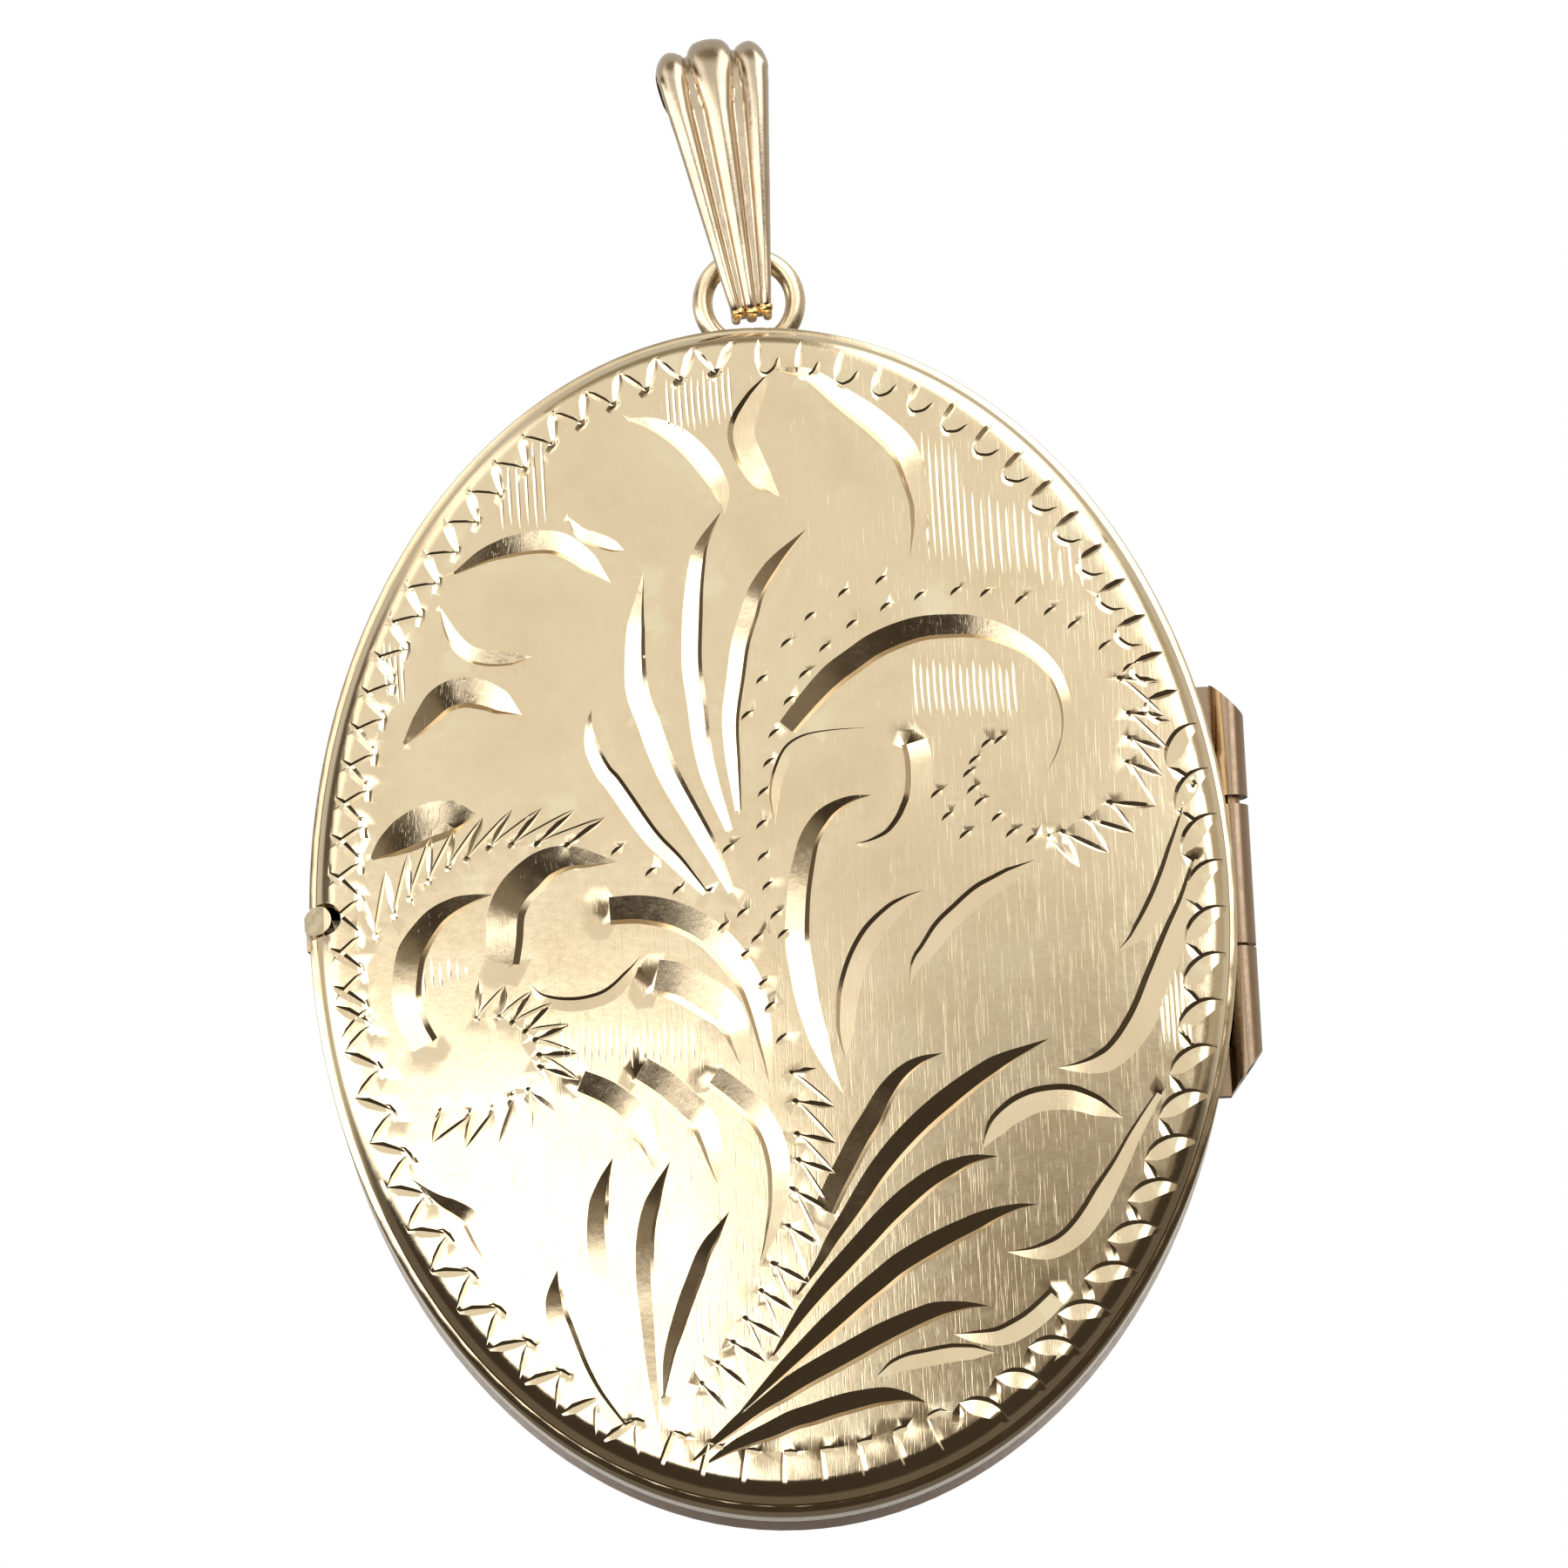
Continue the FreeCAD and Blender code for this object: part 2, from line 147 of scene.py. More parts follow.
SCROLLS = [
    ([(8.4, 3.6), (8.8, 4.2), (9.05, 4.8), (9.15, 5.5), (9.05, 6.2), (8.75, 6.9), (8.2, 7.5), (7.4, 8),
      (6.7, 8.25), (6, 8.35), (4.8, 8.3), (3.6, 7.9), (2.8, 7.4), (2.1, 6.9), (1.4, 6.2), (0.7, 5.4)],
      0.72, (0, 0.45, 0.6, 0.9, 1, 1, 0.75)),
    ([(0.2, 2.4), (0.2, 3.1), (0.25, 3.6), (0.4, 4.1), (0.7, 4.7), (1.2, 5.05), (1.9, 5.2), (3.2, 5.3)],
      0.35, (0, 0.8, 1, 0.9, 0.5, 0.3, 0)),
    ([(3.15, 3.2), (2.5, 3.1), (1.9, 2.8), (1.5, 2.4), (1.2, 1.9), (1, 1.2), (0.85, 0.5), (0.75, -0.3),
      (0.7, -1.2), (0.8, -2.2), (0.95, -3.2), (1.2, -4.2), (1.45, -5), (1.85, -5.9)], 0.65,
      (0, 0.75, 0.95, 1, 1, 0.8, 0)),
    ([(2.5, 1.7), (3.1, 1.7), (3.7, 1.9), (4.2, 2.4), (4.5, 3), (4.6, 3.6), (4.6, 4.3), (4.5, 4.8)], 0.75,
      BLUNT),
    ([(2, -5), (2, -4.1), (2.1, -3.1), (2.3, -2.3), (2.6, -1.6), (3, -1), (3.5, -0.5), (4.1, -0.05),
      (4.6, 0.2)], 0.6, EVEN),
    ([(4, -2.7), (4.2, -2.1), (4.6, -1.6), (5.1, -0.95), (5.6, -0.5), (6.2, 0), (6.9, 0.4), (8, 1)], 0.55,
      EVEN),
]
RIGHT_LEAVES = [
    ([(8.3, -5.4), (9, -5.4), (9.7, -5.25), (10.2, -4.9), (10.7, -4.3), (11.1, -3.6), (11.45, -2.8),
      (11.8, -2), (12.1, -1.3), (12.5, -0.4), (12.9, 0.8)], 0.8, (0, 0.8, 1, 1, 0.9, 0.7, 0.5)),
    ([(10.3, -1.9), (10.85, -1.5), (11.3, -0.9), (11.65, -0.3), (12, 0.5), (12.3, 1.4), (12.5, 2.1),
      (12.6, 2.8)], 0.6, LEAF),
    ([(5.9, -7.8), (6.3, -7.2), (6.7, -6.8), (7.3, -6.45), (7.9, -6.3), (8.6, -6.3), (9.2, -6.5),
      (10.2, -7)], 0.7, EVEN),
    ([(6.5, -10.9), (7.3, -10.95), (8, -10.8), (8.6, -10.4), (9.1, -9.8), (9.55, -9.1), (10, -8.4),
      (10.45, -7.6), (10.9, -6.9), (11.3, -6.3)], 0.65, (0, 0.8, 1, 1, 0.7, 0.5, 0.3)),
    ([(4.8, -13.3), (5.5, -13.4), (6.2, -13.4), (6.9, -13.1), (7.4, -12.75), (7.9, -12.3)], 0.6, BLUNT),
    ([(2.4, -14.5), (3.2, -14.1), (4, -13.95), (4.7, -13.85), (5.4, -13.85), (6, -13.9)], 0.5, EVEN),
]
LOWER_FAN = [
    ([(4.9, -4.8), (4.2, -5), (3.6, -5.4), (3.1, -6), (2.7, -6.7), (2.3, -7.3), (1.9, -8), (1.5, -8.7),
      (1.15, -9.4)], 0.63, BLUNT),
    ([(8.1, -4.5), (7.5, -4.75), (6.7, -5.1), (6, -5.5), (5.2, -6.05), (4.3, -6.75), (3.5, -7.5),
      (2.8, -8.3), (2.3, -9), (1.8, -9.7), (1.35, -10.3), (0.9, -11), (0.2, -11.9)], 0.63, LEAF),
    ([(6.4, -8), (5.7, -8.05), (5.1, -8.25), (4.4, -8.6), (3.7, -9.1), (3, -9.7), (2.4, -10.3),
      (1.7, -11), (1, -11.7), (0.3, -12.5), (-0.6, -13.7)], 0.63, LEAF),
    ([(7.5, -9.5), (6.9, -9.55), (6.2, -9.75), (5.6, -10), (4.8, -10.35), (4.1, -10.7), (3.3, -11.15),
      (2.7, -11.6), (2.1, -12.05), (1.5, -12.55), (0.9, -13.05), (-0.3, -14.1), (-1.7, -15.4)], 0.63,
      LEAF),
    ([(5.9, -12.5), (5.3, -12.45), (4.7, -12.5), (4.2, -12.6), (3.4, -12.9), (2.6, -13.25), (1.9, -13.6),
      (1.1, -14), (0.3, -14.4), (-0.4, -14.8), (-1.1, -15.2), (-2.2, -16), (-3.1, -16.7)], 0.63, LEAF),
    ([(3.9, -15.3), (3.3, -15.1), (2.6, -15.05), (1.9, -15.15), (1.2, -15.3), (0.5, -15.5),
      (-0.1, -15.65), (-0.7, -15.9), (-1.4, -16.15), (-2, -16.4), (-2.7, -16.8)], 0.58, LEAF),
]
LOWER_LEFT_FAN = [
    ([(-6.9, -10.8), (-7, -11.5), (-6.95, -12.2), (-6.7, -13), (-6.35, -13.9), (-5.9, -14.7),
      (-5.2, -15.6)], 0.65, (0, 0.8, 1, 0.95, 0.85, 0.7, 0.5)),
    ([(-5.1, -7.5), (-5.4, -8.2), (-5.6, -9), (-5.65, -9.9), (-5.55, -10.9), (-5.35, -12), (-5.1, -13.2),
      (-4.8, -14.4), (-4.4, -15.8)], 0.62, (0, 0.85, 1, 0.95, 0.7, 0.4, 0)),
    ([(-3.4, -7.7), (-3.8, -8.5), (-4.1, -9.3), (-4.25, -10.1), (-4.3, -11.2), (-4.25, -12.3),
      (-4.2, -13.6), (-4.1, -15.7)], 0.5, (0, 0.85, 1, 0.95, 0.8, 0.55, 0)),
    ([(-1.7, -9.3), (-2.1, -9.9), (-2.5, -10.5), (-2.8, -11.2), (-3.1, -11.9), (-3.4, -12.7),
      (-3.7, -13.6), (-3.9, -14.8)], 0.42, LEAF),
    ([(-8.5, -10.9), (-8.85, -10.5), (-9.1, -10), (-9.3, -9.5), (-9.5, -9.1), (-9.9, -8.8), (-10.4, -8.5),
      (-11.2, -7.8)], 0.5, (0, 0.6, 0.9, 1, 0.8, 0.3, 0)),
]
BIG_CUTS = (UPPER_LEAVES + FRONDS + LEFT_LEAVES + CENTRE_LEAVES + SCROLLS + RIGHT_LEAVES + LOWER_FAN
            + LOWER_LEFT_FAN)

# Wriggle cuts: (outer line, inner line), joined by a zigzag of fine cuts with a foot at each inner point.
WRIGGLES = [
    ([(-8.9, -1.9), (-8.1, -2.1), (-7.3, -2.3), (-6.7, -2.7), (-6.2, -3.4), (-6, -4.3), (-6, -5.1),
      (-6.7, -6.1), (-7.5, -6.6), (-8.5, -6.9), (-9.5, -7), (-10.5, -6.8)], [(-9, -3), (-8.3, -3),
      (-7.9, -3.2), (-7.5, -3.5), (-7.2, -3.8), (-7.1, -4.3), (-7.1, -4.7), (-7.5, -5.4), (-8, -5.6),
      (-8.6, -5.9), (-9.3, -6), (-10.2, -5.9)]),
    ([(-12.4, 1), (-11.6, 1.6), (-10.9, 2.1), (-10.2, 2.6), (-9.5, 2.75), (-8.6, 3.1), (-7.7, 3.3),
      (-6.8, 3.3), (-5.8, 3.2), (-4.9, 2.9)], [(-12, -0.3), (-11.4, 0.3), (-10.9, 0.8), (-10.3, 1.3),
      (-9.7, 1.65), (-9.1, 1.9), (-8.4, 2.2), (-7.7, 2.25), (-6.9, 2.25), (-6, 2.15)]),
    ([(1.1, -5.1), (1.6, -6.3), (1.6, -7.4), (1.5, -8.3), (1.4, -9.5), (1, -10.5), (0.6, -11.6),
      (0.1, -12.4), (-0.3, -13.2), (-0.8, -13.9), (-1.4, -14.6), (-2, -15.3)], [(0.4, -5.2), (0.5, -6.1),
      (0.5, -7.1), (0.5, -7.9), (0.3, -8.8), (0.1, -9.9), (-0.4, -11), (-0.8, -11.8), (-1.3, -12.6),
      (-1.7, -13.3), (-2.2, -13.9), (-2.7, -14.5)]),
    ([(12, 6.4), (12.1, 5.3), (12.2, 4.2), (12, 3.4), (11.7, 2.5), (11, 1.7), (10.2, 1.1), (9.3, 0.7)],
      [(10.9, 6.5), (11.1, 5.4), (11.1, 4.6), (11, 3.85), (10.4, 2.65), (9.7, 2.15), (8.95, 1.75),
      (8.5, 1.6)]),
]
TOE_SHARE = 0.16
# Single punched dots: small tapering nicks at these places
DOTS = [
    (0.8, 8), (1.55, 8.8), (2.6, 9.5), (3.75, 9.85), (1.95, 7.8), (2.8, 8.5), (3.85, 9), (4.9, 9.3),
    (6, 9.4), (6.9, 9.3), (7.95, 9.05), (8.8, 8.65), (9.5, 8.2), (10.4, 7.5), (11.1, 6.8), (1.3, 7),
    (0.8, 6.2), (0.3, 5.2), (0.1, 4.3), (-0.1, 3.4), (-0.2, 2.4), (-0.2, 1.4), (-0.1, 0.5), (0.1, -0.4),
    (0.3, -1), (0, 6.9), (-0.5, 5.8), (-1.25, 1.7), (-0.9, -0.3), (-0.5, -1.1), (-1.5, -0.7),
    (-0.9, -1.6), (-0.4, -2.5), (-0.2, -3.2), (0.1, -4.2), (7.9, 1.6), (7.3, 1.8), (6.9, 2.3), (6.4, 2.8),
    (6.2, 3.2), (6.1, 3.7), (6.3, 4.1), (6.7, 4.6), (7.1, 4.7), (5.1, 3.1), (5.4, 2.4), (5.9, 1.8),
    (-4.6, 1.8), (-3.6, 1.1), (-2.8, 0.5),
]
# Shading lines: first x, last x, top z at each end, bottom z at each end, count
HATCHES = [
    (-7.7, -6.4, 14, 15.2, 12, 12, 6), (-2.5, -0.6, 16.6, 17, 14.7, 15.1, 11),
    (5.2, 6.2, 14.6, 14.2, 10.4, 10.3, 6), (6.4, 8.4, 12.8, 12, 9.9, 9.9, 9),
    (8.6, 9.8, 11.3, 10.8, 9.5, 9.4, 5), (-11.4, -10.9, 8.8, 8.8, 7, 6.6, 4),
    (-10.6, -9.3, -0.9, -1.2, -2.4, -1.9, 6), (-6.5, -2.6, -3.1, -3.3, -4.7, -5, 20),
    (4.6, 7.6, 7.4, 7.2, 5.6, 5.4, 16), (11.5, 12.3, -2.6, -2.4, -4.8, -5.4, 6),
]


def place(x, y, z):
    """Case coordinates in millimetres to the row frame in metres."""
    return Vector(((CENTRE[0] + x) * MM, (CENTRE[1] + y) * MM, (CENTRE[2] + z) * MM))


def smooth_line(points, step):
    """Evenly spaced points on the smooth curve through the given ones."""
    p = np.array(points, float)
    p = np.vstack([2 * p[0] - p[1], p, 2 * p[-1] - p[-2]])
    t = np.linspace(0, 1, 12, endpoint=False)[:, None]
    fine = []
    for a, b, c, d in zip(p[:-3], p[1:-2], p[2:-1], p[3:]):
        square = 2 * a - 5 * b + 4 * c - d
        cube = 3 * b - a - 3 * c + d
        fine.append(0.5 * (2 * b + (c - a) * t + square * t ** 2 + cube * t ** 3))
    fine = np.vstack(fine + [p[-2:-1]])
    run = np.concatenate([[0], np.cumsum(np.linalg.norm(np.diff(fine, axis=0), axis=1))])
    count = max(3, int(math.ceil(run[-1] / step)) + 1)
    even = np.linspace(0, run[-1], count)
    return np.column_stack([np.interp(even, run, fine[:, i]) for i in (0, 1)])


def cut(points, width, shape, step=SAMPLE, share=VALLEY_SHARE):
    """One graver cut: its centreline, its left normals, and its width along it."""
    line = smooth_line(points, step)
    travel = np.gradient(line, axis=0)
    travel /= np.linalg.norm(travel, axis=1)[:, None]
    left = np.column_stack([-travel[:, 1], travel[:, 0]])
    along = np.linspace(0, 1, len(line))
    knots = np.linspace(0, 1, len(shape))
    widths = WIDEN * width * np.interp(along, knots, shape)
    return {"line": line, "left": left, "width": widths, "share": share}


def outline(angle, inset=0.0):
    """A point on the case's outline, moved inwards by inset."""
    normal = np.array([math.cos(angle) / CASE_A, math.sin(angle) / CASE_B])
    normal /= np.linalg.norm(normal)
    return np.array([CASE_A * math.cos(angle), CASE_B * math.sin(angle)]) - inset * normal


def even_angles(pitch, start, end):
    """Angles whose outline points are a pitch apart along the outline."""
    fine = np.linspace(math.radians(start), math.radians(end), 2000)
    points = np.array([outline(a, 1) for a in fine])
    run = np.concatenate([[0], np.cumsum(np.linalg.norm(np.diff(points, axis=0), axis=1))])
    return np.interp(np.arange(0, run[-1], pitch), run, fine)


def fine_cut(a, b, width, shape=EVEN):
    """A short straight cut from a to b."""
    return cut([a, (np.array(a) + np.array(b)) / 2, b], width, shape, step=FINE_SAMPLE, share=FINE_SHARE)


# The border's stretches: (pitch in millimetres, first angle, last angle in degrees)
TEETH = [(1.15, 92, 186), (1.42, 188, 250)]
HOOKS = (1.25, 20, 90)
SCALLOPS = (1.4, -65, 18)
TICKS = (1.2, 252, 292)


def teeth_cuts():
    """Leaning zigzag teeth with a short foot, on the top and the left."""
    cuts = []
    for pitch, start, end in TEETH:
        teeth = even_angles(pitch, start, end)
        half = (teeth[1] - teeth[0]) / 2
        for a in teeth:
            outer, inner, following = outline(a, 0.62), outline(a + half, 1.58), outline(a + 2 * half, 0.62)
            cuts.append(fine_cut(outer, inner, 0.3, TOOTH))
            cuts.append(fine_cut(following, inner, 0.18))
            cuts.append(fine_cut(outline(a + 0.7 * half, 1.5), outline(a + 1.5 * half, 1.62), 0.26, STUB))
    return cuts


def hook_cuts():
    """Straight ticks with a curled inner end, upper right."""
    cuts = []
    for a in even_angles(*HOOKS):
        cuts.append(fine_cut(outline(a, 0.55), outline(a, 1.65), 0.2))
        curl = [outline(a, 1.6), outline(a - 0.02, 1.75), outline(a - 0.045, 1.5), outline(a - 0.05, 1.1)]
        cuts.append(cut(curl, 0.2, EVEN, share=FINE_SHARE))
    return cuts


def scallop_cuts():
    """Curved scallops with a short return, on the right."""
    cuts = []
    for a in even_angles(*SCALLOPS):
        outer, inner = outline(a + 0.045, 0.35), outline(a - 0.02, 1.6)
        middle = (outer + inner) / 2 + 0.12 * (outline(a + 0.1, 1) - outline(a, 1))
        cuts.append(cut([inner, middle, outer], 0.55, SCALLOP))
        cuts.append(fine_cut(inner, outline(a - 0.06, 0.9), 0.3))
    return cuts


def tick_cuts():
    """Ticks with a short foot, at the bottom."""
    cuts = []
    for a in even_angles(*TICKS):
        cuts.append(fine_cut(outline(a, 0.55), outline(a, 1.7), 0.2, STUB))
        cuts.append(fine_cut(outline(a, 1.7), outline(a + 0.035, 1.68), 0.22, STUB))
    return cuts


def wriggle_cuts():
    """Each wriggle's zigzag, with a short toe past each inner point."""
    cuts = []
    for outer, inner in WRIGGLES:
        for k, foot in enumerate(inner):
            cuts.append(fine_cut(outer[k], foot, 0.18))
            if k + 1 < len(outer):
                cuts.append(fine_cut(foot, outer[k + 1], 0.12))
            toe = np.array(foot) + TOE_SHARE * (np.array(foot) - np.array(outer[k]))
            cuts.append(fine_cut(foot, toe, 0.2, STUB))
    return cuts


def dot_cuts():
    """A small tapering nick at each dot."""
    cuts = []
    for x, z in DOTS:
        path = [(x - 0.2, z - 0.12), (x, z), (x + 0.16, z + 0.16)]
        cuts.append(cut(path, 0.24, NICK, step=DOT_SAMPLE, share=FINE_SHARE))
    return cuts


def hatch_cuts():
    """Rows of upright shading lines with slightly uneven ends."""
    cuts = []
    for x0, x1, top0, top1, low0, low1, count in HATCHES:
        for k in range(count):
            share = k / (count - 1)
            x = x0 + (x1 - x0) * share
            top = top0 + (top1 - top0) * share - 0.12 * (k % 3)
            low = low0 + (low1 - low0) * share + 0.15 * (k % 2)
            cuts.append(fine_cut((x, top), (x + 0.05, low), 0.09))
    return cuts


CUTS = [cut(*c) for c in BIG_CUTS]
for make_cuts in (teeth_cuts, hook_cuts, scallop_cuts, tick_cuts, wriggle_cuts, dot_cuts, hatch_cuts):
    CUTS += make_cuts()


def nearest(points, line, chunk=4000):
    """For each point, the index of the nearest point of the line and the distance to it."""
    index = np.empty(len(points), int)
    gap = np.empty(len(points))
    for start in range(0, len(points), chunk):
        part = points[start:start + chunk]
        d = ((part[:, None, :] - line[None, :, :]) ** 2).sum(axis=2)
        index[start:start + chunk] = d.argmin(axis=1)
        gap[start:start + chunk] = np.sqrt(d.min(axis=1))
    return index, gap


RIM_ANGLES = np.linspace(0, 2 * math.pi, RIM_SAMPLES, endpoint=False)
RIM = np.array([outline(a) for a in RIM_ANGLES])


def base_height(points):
    """The smooth face's height above the seam: crowned face and quarter-round shoulder."""
    gap = nearest(points, RIM)[1]
    into = np.clip(gap - LEDGE, 0, SHOULDER)
    drop = SHOULDER - np.sqrt(np.clip(SHOULDER ** 2 - (SHOULDER - into) ** 2, 0, None))
    crown = CROWN * (1 - (points[:, 0] / CASE_A) ** 2 - (points[:, 1] / CASE_B) ** 2)
    return DEPTH - drop + np.clip(crown, 0, None)


def cut_depth(points):
    """How deep the engraving is at each point: the deepest of the cuts that reach it."""
    depth = np.zeros(len(points))
    for c in CUTS:
        reach = c["width"].max()
        low, high = c["line"].min(axis=0) - reach, c["line"].max(axis=0) + reach
        inside = np.where(((points > low) & (points < high)).all(axis=1))[0]
        if not len(inside):
            continue
        dense = np.linspace(0, len(c["width"]) - 1, 8 * len(c["width"]))
        steps = np.arange(len(c["width"]))
        line = np.column_stack([np.interp(dense, steps, c["line"][:, i]) for i in (0, 1)])
        left = np.column_stack([np.interp(dense, steps, c["left"][:, i]) for i in (0, 1)])
        width = np.interp(dense, steps, c["width"])
        index = nearest(points[inside], line)[0]
        side = ((points[inside] - line[index]) * left[index]).sum(axis=1)
        along = ((points[inside] - line[index]) * left[index][:, ::-1] * [1, -1]).sum(axis=1)
        w = np.maximum(width[index], 1e-6)
        across = 0.5 - side / w
        here = (across > 0) & (across < 1) & (np.abs(along) < PAST_END)
        rise = np.where(across < c["share"], across / c["share"], (1 - across) / (1 - c["share"]))
        deep = np.minimum(DEPTH_PER_WIDTH * w, DEEPEST) * rise
        depth[inside] = np.maximum(depth[inside], np.where(here, deep, 0))
    return depth


def face_mesh():
    """The engraved face as triangles: edges follow every cut's two sides and its valley."""
    verts, edges, sharp = [], [], set()

    def chain(points, closed, crisp):
        first = len(verts)
        verts.extend(points)
        count = len(points)
        for k in range(count if closed else count - 1):
            if crisp:
                sharp.add(len(edges))
            edges.append((first + k, first + (k + 1) % count))

    angles = np.linspace(0, 2 * math.pi, RIM_STEPS, endpoint=False)
    for k in range(SHOULDER_STEPS + 1):
        turn = math.pi / 2 * k / SHOULDER_STEPS
        inset = LEDGE + SHOULDER * (1 - math.cos(turn))
        chain([tuple(outline(a, inset)) for a in angles], True, False)
    for c in CUTS:
        half = c["left"] * c["width"][:, None] / 2
        valley = c["line"] + c["left"] * (c["width"] * (0.5 - c["share"]))[:, None]
        loop = list(map(tuple, c["line"] + half)) + list(map(tuple, (c["line"] - half)[::-1]))
        chain(loop, True, True)
        chain(list(map(tuple, valley)), False, True)
    room = 1 - LEDGE / CASE_A - GRID_ROOM
    for row, z in enumerate(np.arange(-CASE_B, CASE_B, GRID * ROW_PER_GRID)):
        for x in np.arange(-CASE_A, CASE_A, GRID):
            x += (row % 2) * GRID / 2
            if (x / CASE_A) ** 2 + (z / CASE_B) ** 2 < room ** 2:
                verts.append((x, z))
    verts = [Vector(v) for v in verts]
    out = delaunay_2d_cdt(verts, edges, [], 0, 1e-4, True)
    points = np.array([tuple(v) for v in out[0]])
    heights = base_height(points) - cut_depth(points)
    crisp = {tuple(sorted(e)) for e, ids in zip(out[1], out[4]) if any(i in sharp for i in ids)}
    return points, heights, out[2], crisp


def wall_rings():
    """The rings from the ledge round the wall to the floor inside, each as (inset, height, crisp)."""
    top = DEPTH - SHOULDER
    floor = DEPTH - FLOOR
    rings = [
        (EDGE_ROLL, top, False),
        (0, top - EDGE_ROLL, False),
        (0, EDGE_ROLL, False),
        (EDGE_ROLL, 0, True),
        (WALL, 0, True),
    ]
    for k in range(1, INNER_ROLL_STEPS + 1):
        turn = math.pi / 2 * k / INNER_ROLL_STEPS
        inset = WALL + INNER_ROLL * (1 - math.cos(turn))
        rings.append((inset, floor - INNER_ROLL * (1 - math.sin(turn)), False))
    rings.append((CAP_INSET, floor, False))
    return rings


def cover_object():
    """The whole front cover as one closed mesh."""
    points, heights, faces, crisp = face_mesh()
    bm = bmesh.new()
    verts = [bm.verts.new(place(x, -h, z)) for (x, z), h in zip(points, heights)]
    for f in faces:
        bm.faces.new([verts[i] for i in f])
    bm.edges.ensure_lookup_table()
    for a, b in crisp:
        edge = bm.edges.get((verts[a], verts[b]))
        if edge:
            edge.smooth = False
    border = [e for e in bm.edges if e.is_boundary]
    index = {v: i for i, v in enumerate(verts)}
    ring = {v for e in border for v in e.verts}
    spots = np.array([points[index[v]] for v in ring])
    where = dict(zip(ring, nearest(spots, RIM)[0]))
    for e in border:
        e.smooth = False
    for inset, height, is_crisp in wall_rings():
        grown = bmesh.ops.extrude_edge_only(bm, edges=border)["geom"]
        new_verts = [g for g in grown if isinstance(g, bmesh.types.BMVert)]
        border = [g for g in grown if isinstance(g, bmesh.types.BMEdge) and g.is_boundary]
        moved = {}
        for v in new_verts:
            old = next(e.other_vert(v) for e in v.link_edges if e.other_vert(v) in where)
            moved[v] = where[old]
        for v, k in moved.items():
            x, z = outline(RIM_ANGLES[k], inset)
            v.co = place(x, -height, z)
        where = moved
        for e in border:
            e.smooth = not is_crisp
    bmesh.ops.contextual_create(bm, geom=border)
    bmesh.ops.recalc_face_normals(bm, faces=bm.faces)
    for f in bm.faces:
        f.smooth = True
    return object_from(bm, "engraved_cover")


def object_from(bm, name):
    """A new object in the scene, made from the mesh in bm."""
    mesh = bpy.data.meshes.new(name)
    bm.to_mesh(mesh)
    bm.free()
    obj = bpy.data.objects.new(name, mesh)
    bpy.context.scene.collection.objects.link(obj)
    return obj


def subtract(obj, cutters):
    """Cuts the cutters out of obj for good, and removes them."""
    for cutter in cutters:
        mod = obj.modifiers.new("cut", "BOOLEAN")
        mod.operation = "DIFFERENCE"
        mod.solver = "EXACT"
        mod.object = cutter
    bpy.context.view_layer.update()
    mesh = bpy.data.meshes.new_from_object(obj.evaluated_get(bpy.context.evaluated_depsgraph_get()))
    obj.modifiers.clear()
    obj.data = mesh
    for cutter in cutters:
        bpy.data.objects.remove(cutter)


def prism(name, outline_points, low_y, high_y):
    """A solid with the given outline in case x and z, from low_y to high_y."""
    bm = bmesh.new()
    lower = [bm.verts.new(place(x, low_y, z)) for x, z in outline_points]
    upper = [bm.verts.new(place(x, high_y, z)) for x, z in outline_points]
    count = len(lower)
    bm.faces.new(lower)
    bm.faces.new(upper[::-1])
    for k in range(count):
        bm.faces.new([lower[k], lower[(k + 1) % count], upper[(k + 1) % count], upper[k]])
    bmesh.ops.recalc_face_normals(bm, faces=bm.faces)
    return object_from(bm, name)


def rod(name, x, y, radius, low_z, high_z, steps=48):
    """A round bar along case z."""
    bm = bmesh.new()
    ends = []
    for z in (low_z, high_z):
        turns = [2 * math.pi * k / steps for k in range(steps)]
        circle = [(x + radius * math.cos(t), y + radius * math.sin(t)) for t in turns]
        ends.append([bm.verts.new(place(cx, cy, z)) for cx, cy in circle])
    bm.faces.new(ends[0][::-1])
    bm.faces.new(ends[1])
    for k in range(steps):
        n = (k + 1) % steps
        bm.faces.new([ends[0][k], ends[0][n], ends[1][n], ends[1][k]])
    bmesh.ops.recalc_face_normals(bm, faces=bm.faces)
    return object_from(bm, name)


CATCH_Z = 0.24
SLOT_HALF = 0.5
SLOT_END_X = -13.0
HINGE_OUT = 0.12
HINGE_SEAT_R = 0.55
HINGE_LOW, HINGE_HIGH = -5.95, 6.8


def catch_slot():
    """The round-ended slot in the left wall, through which the catch tongue shows."""
    centre = SLOT_END_X - SLOT_HALF
    arc = [(centre + SLOT_HALF * math.cos(a), CATCH_Z + SLOT_HALF * math.sin(a))
           for a in np.linspace(-math.pi / 2, math.pi / 2, 24)]
    return prism("slot", arc + [(-CASE_A - 1, CATCH_Z + SLOT_HALF), (-CASE_A - 1, CATCH_Z - SLOT_HALF)],
                 -DEPTH - 1, 1)


def hinge_seat():
    """The groove in the right wall, in which the hinge tubes lie."""
    return rod("seat", CASE_A + HINGE_OUT, 0, HINGE_SEAT_R, HINGE_LOW, HINGE_HIGH)


# ---------------------------------------------------------------- materials

def node(tree, kind, **settings):
    """A new shader node, with its inputs or properties set by name."""
    n = tree.nodes.new(kind)
    for key, value in settings.items():
        if key in n.inputs:
            n.inputs[key].default_value = value
        else:
            setattr(n, key, value)
    return n


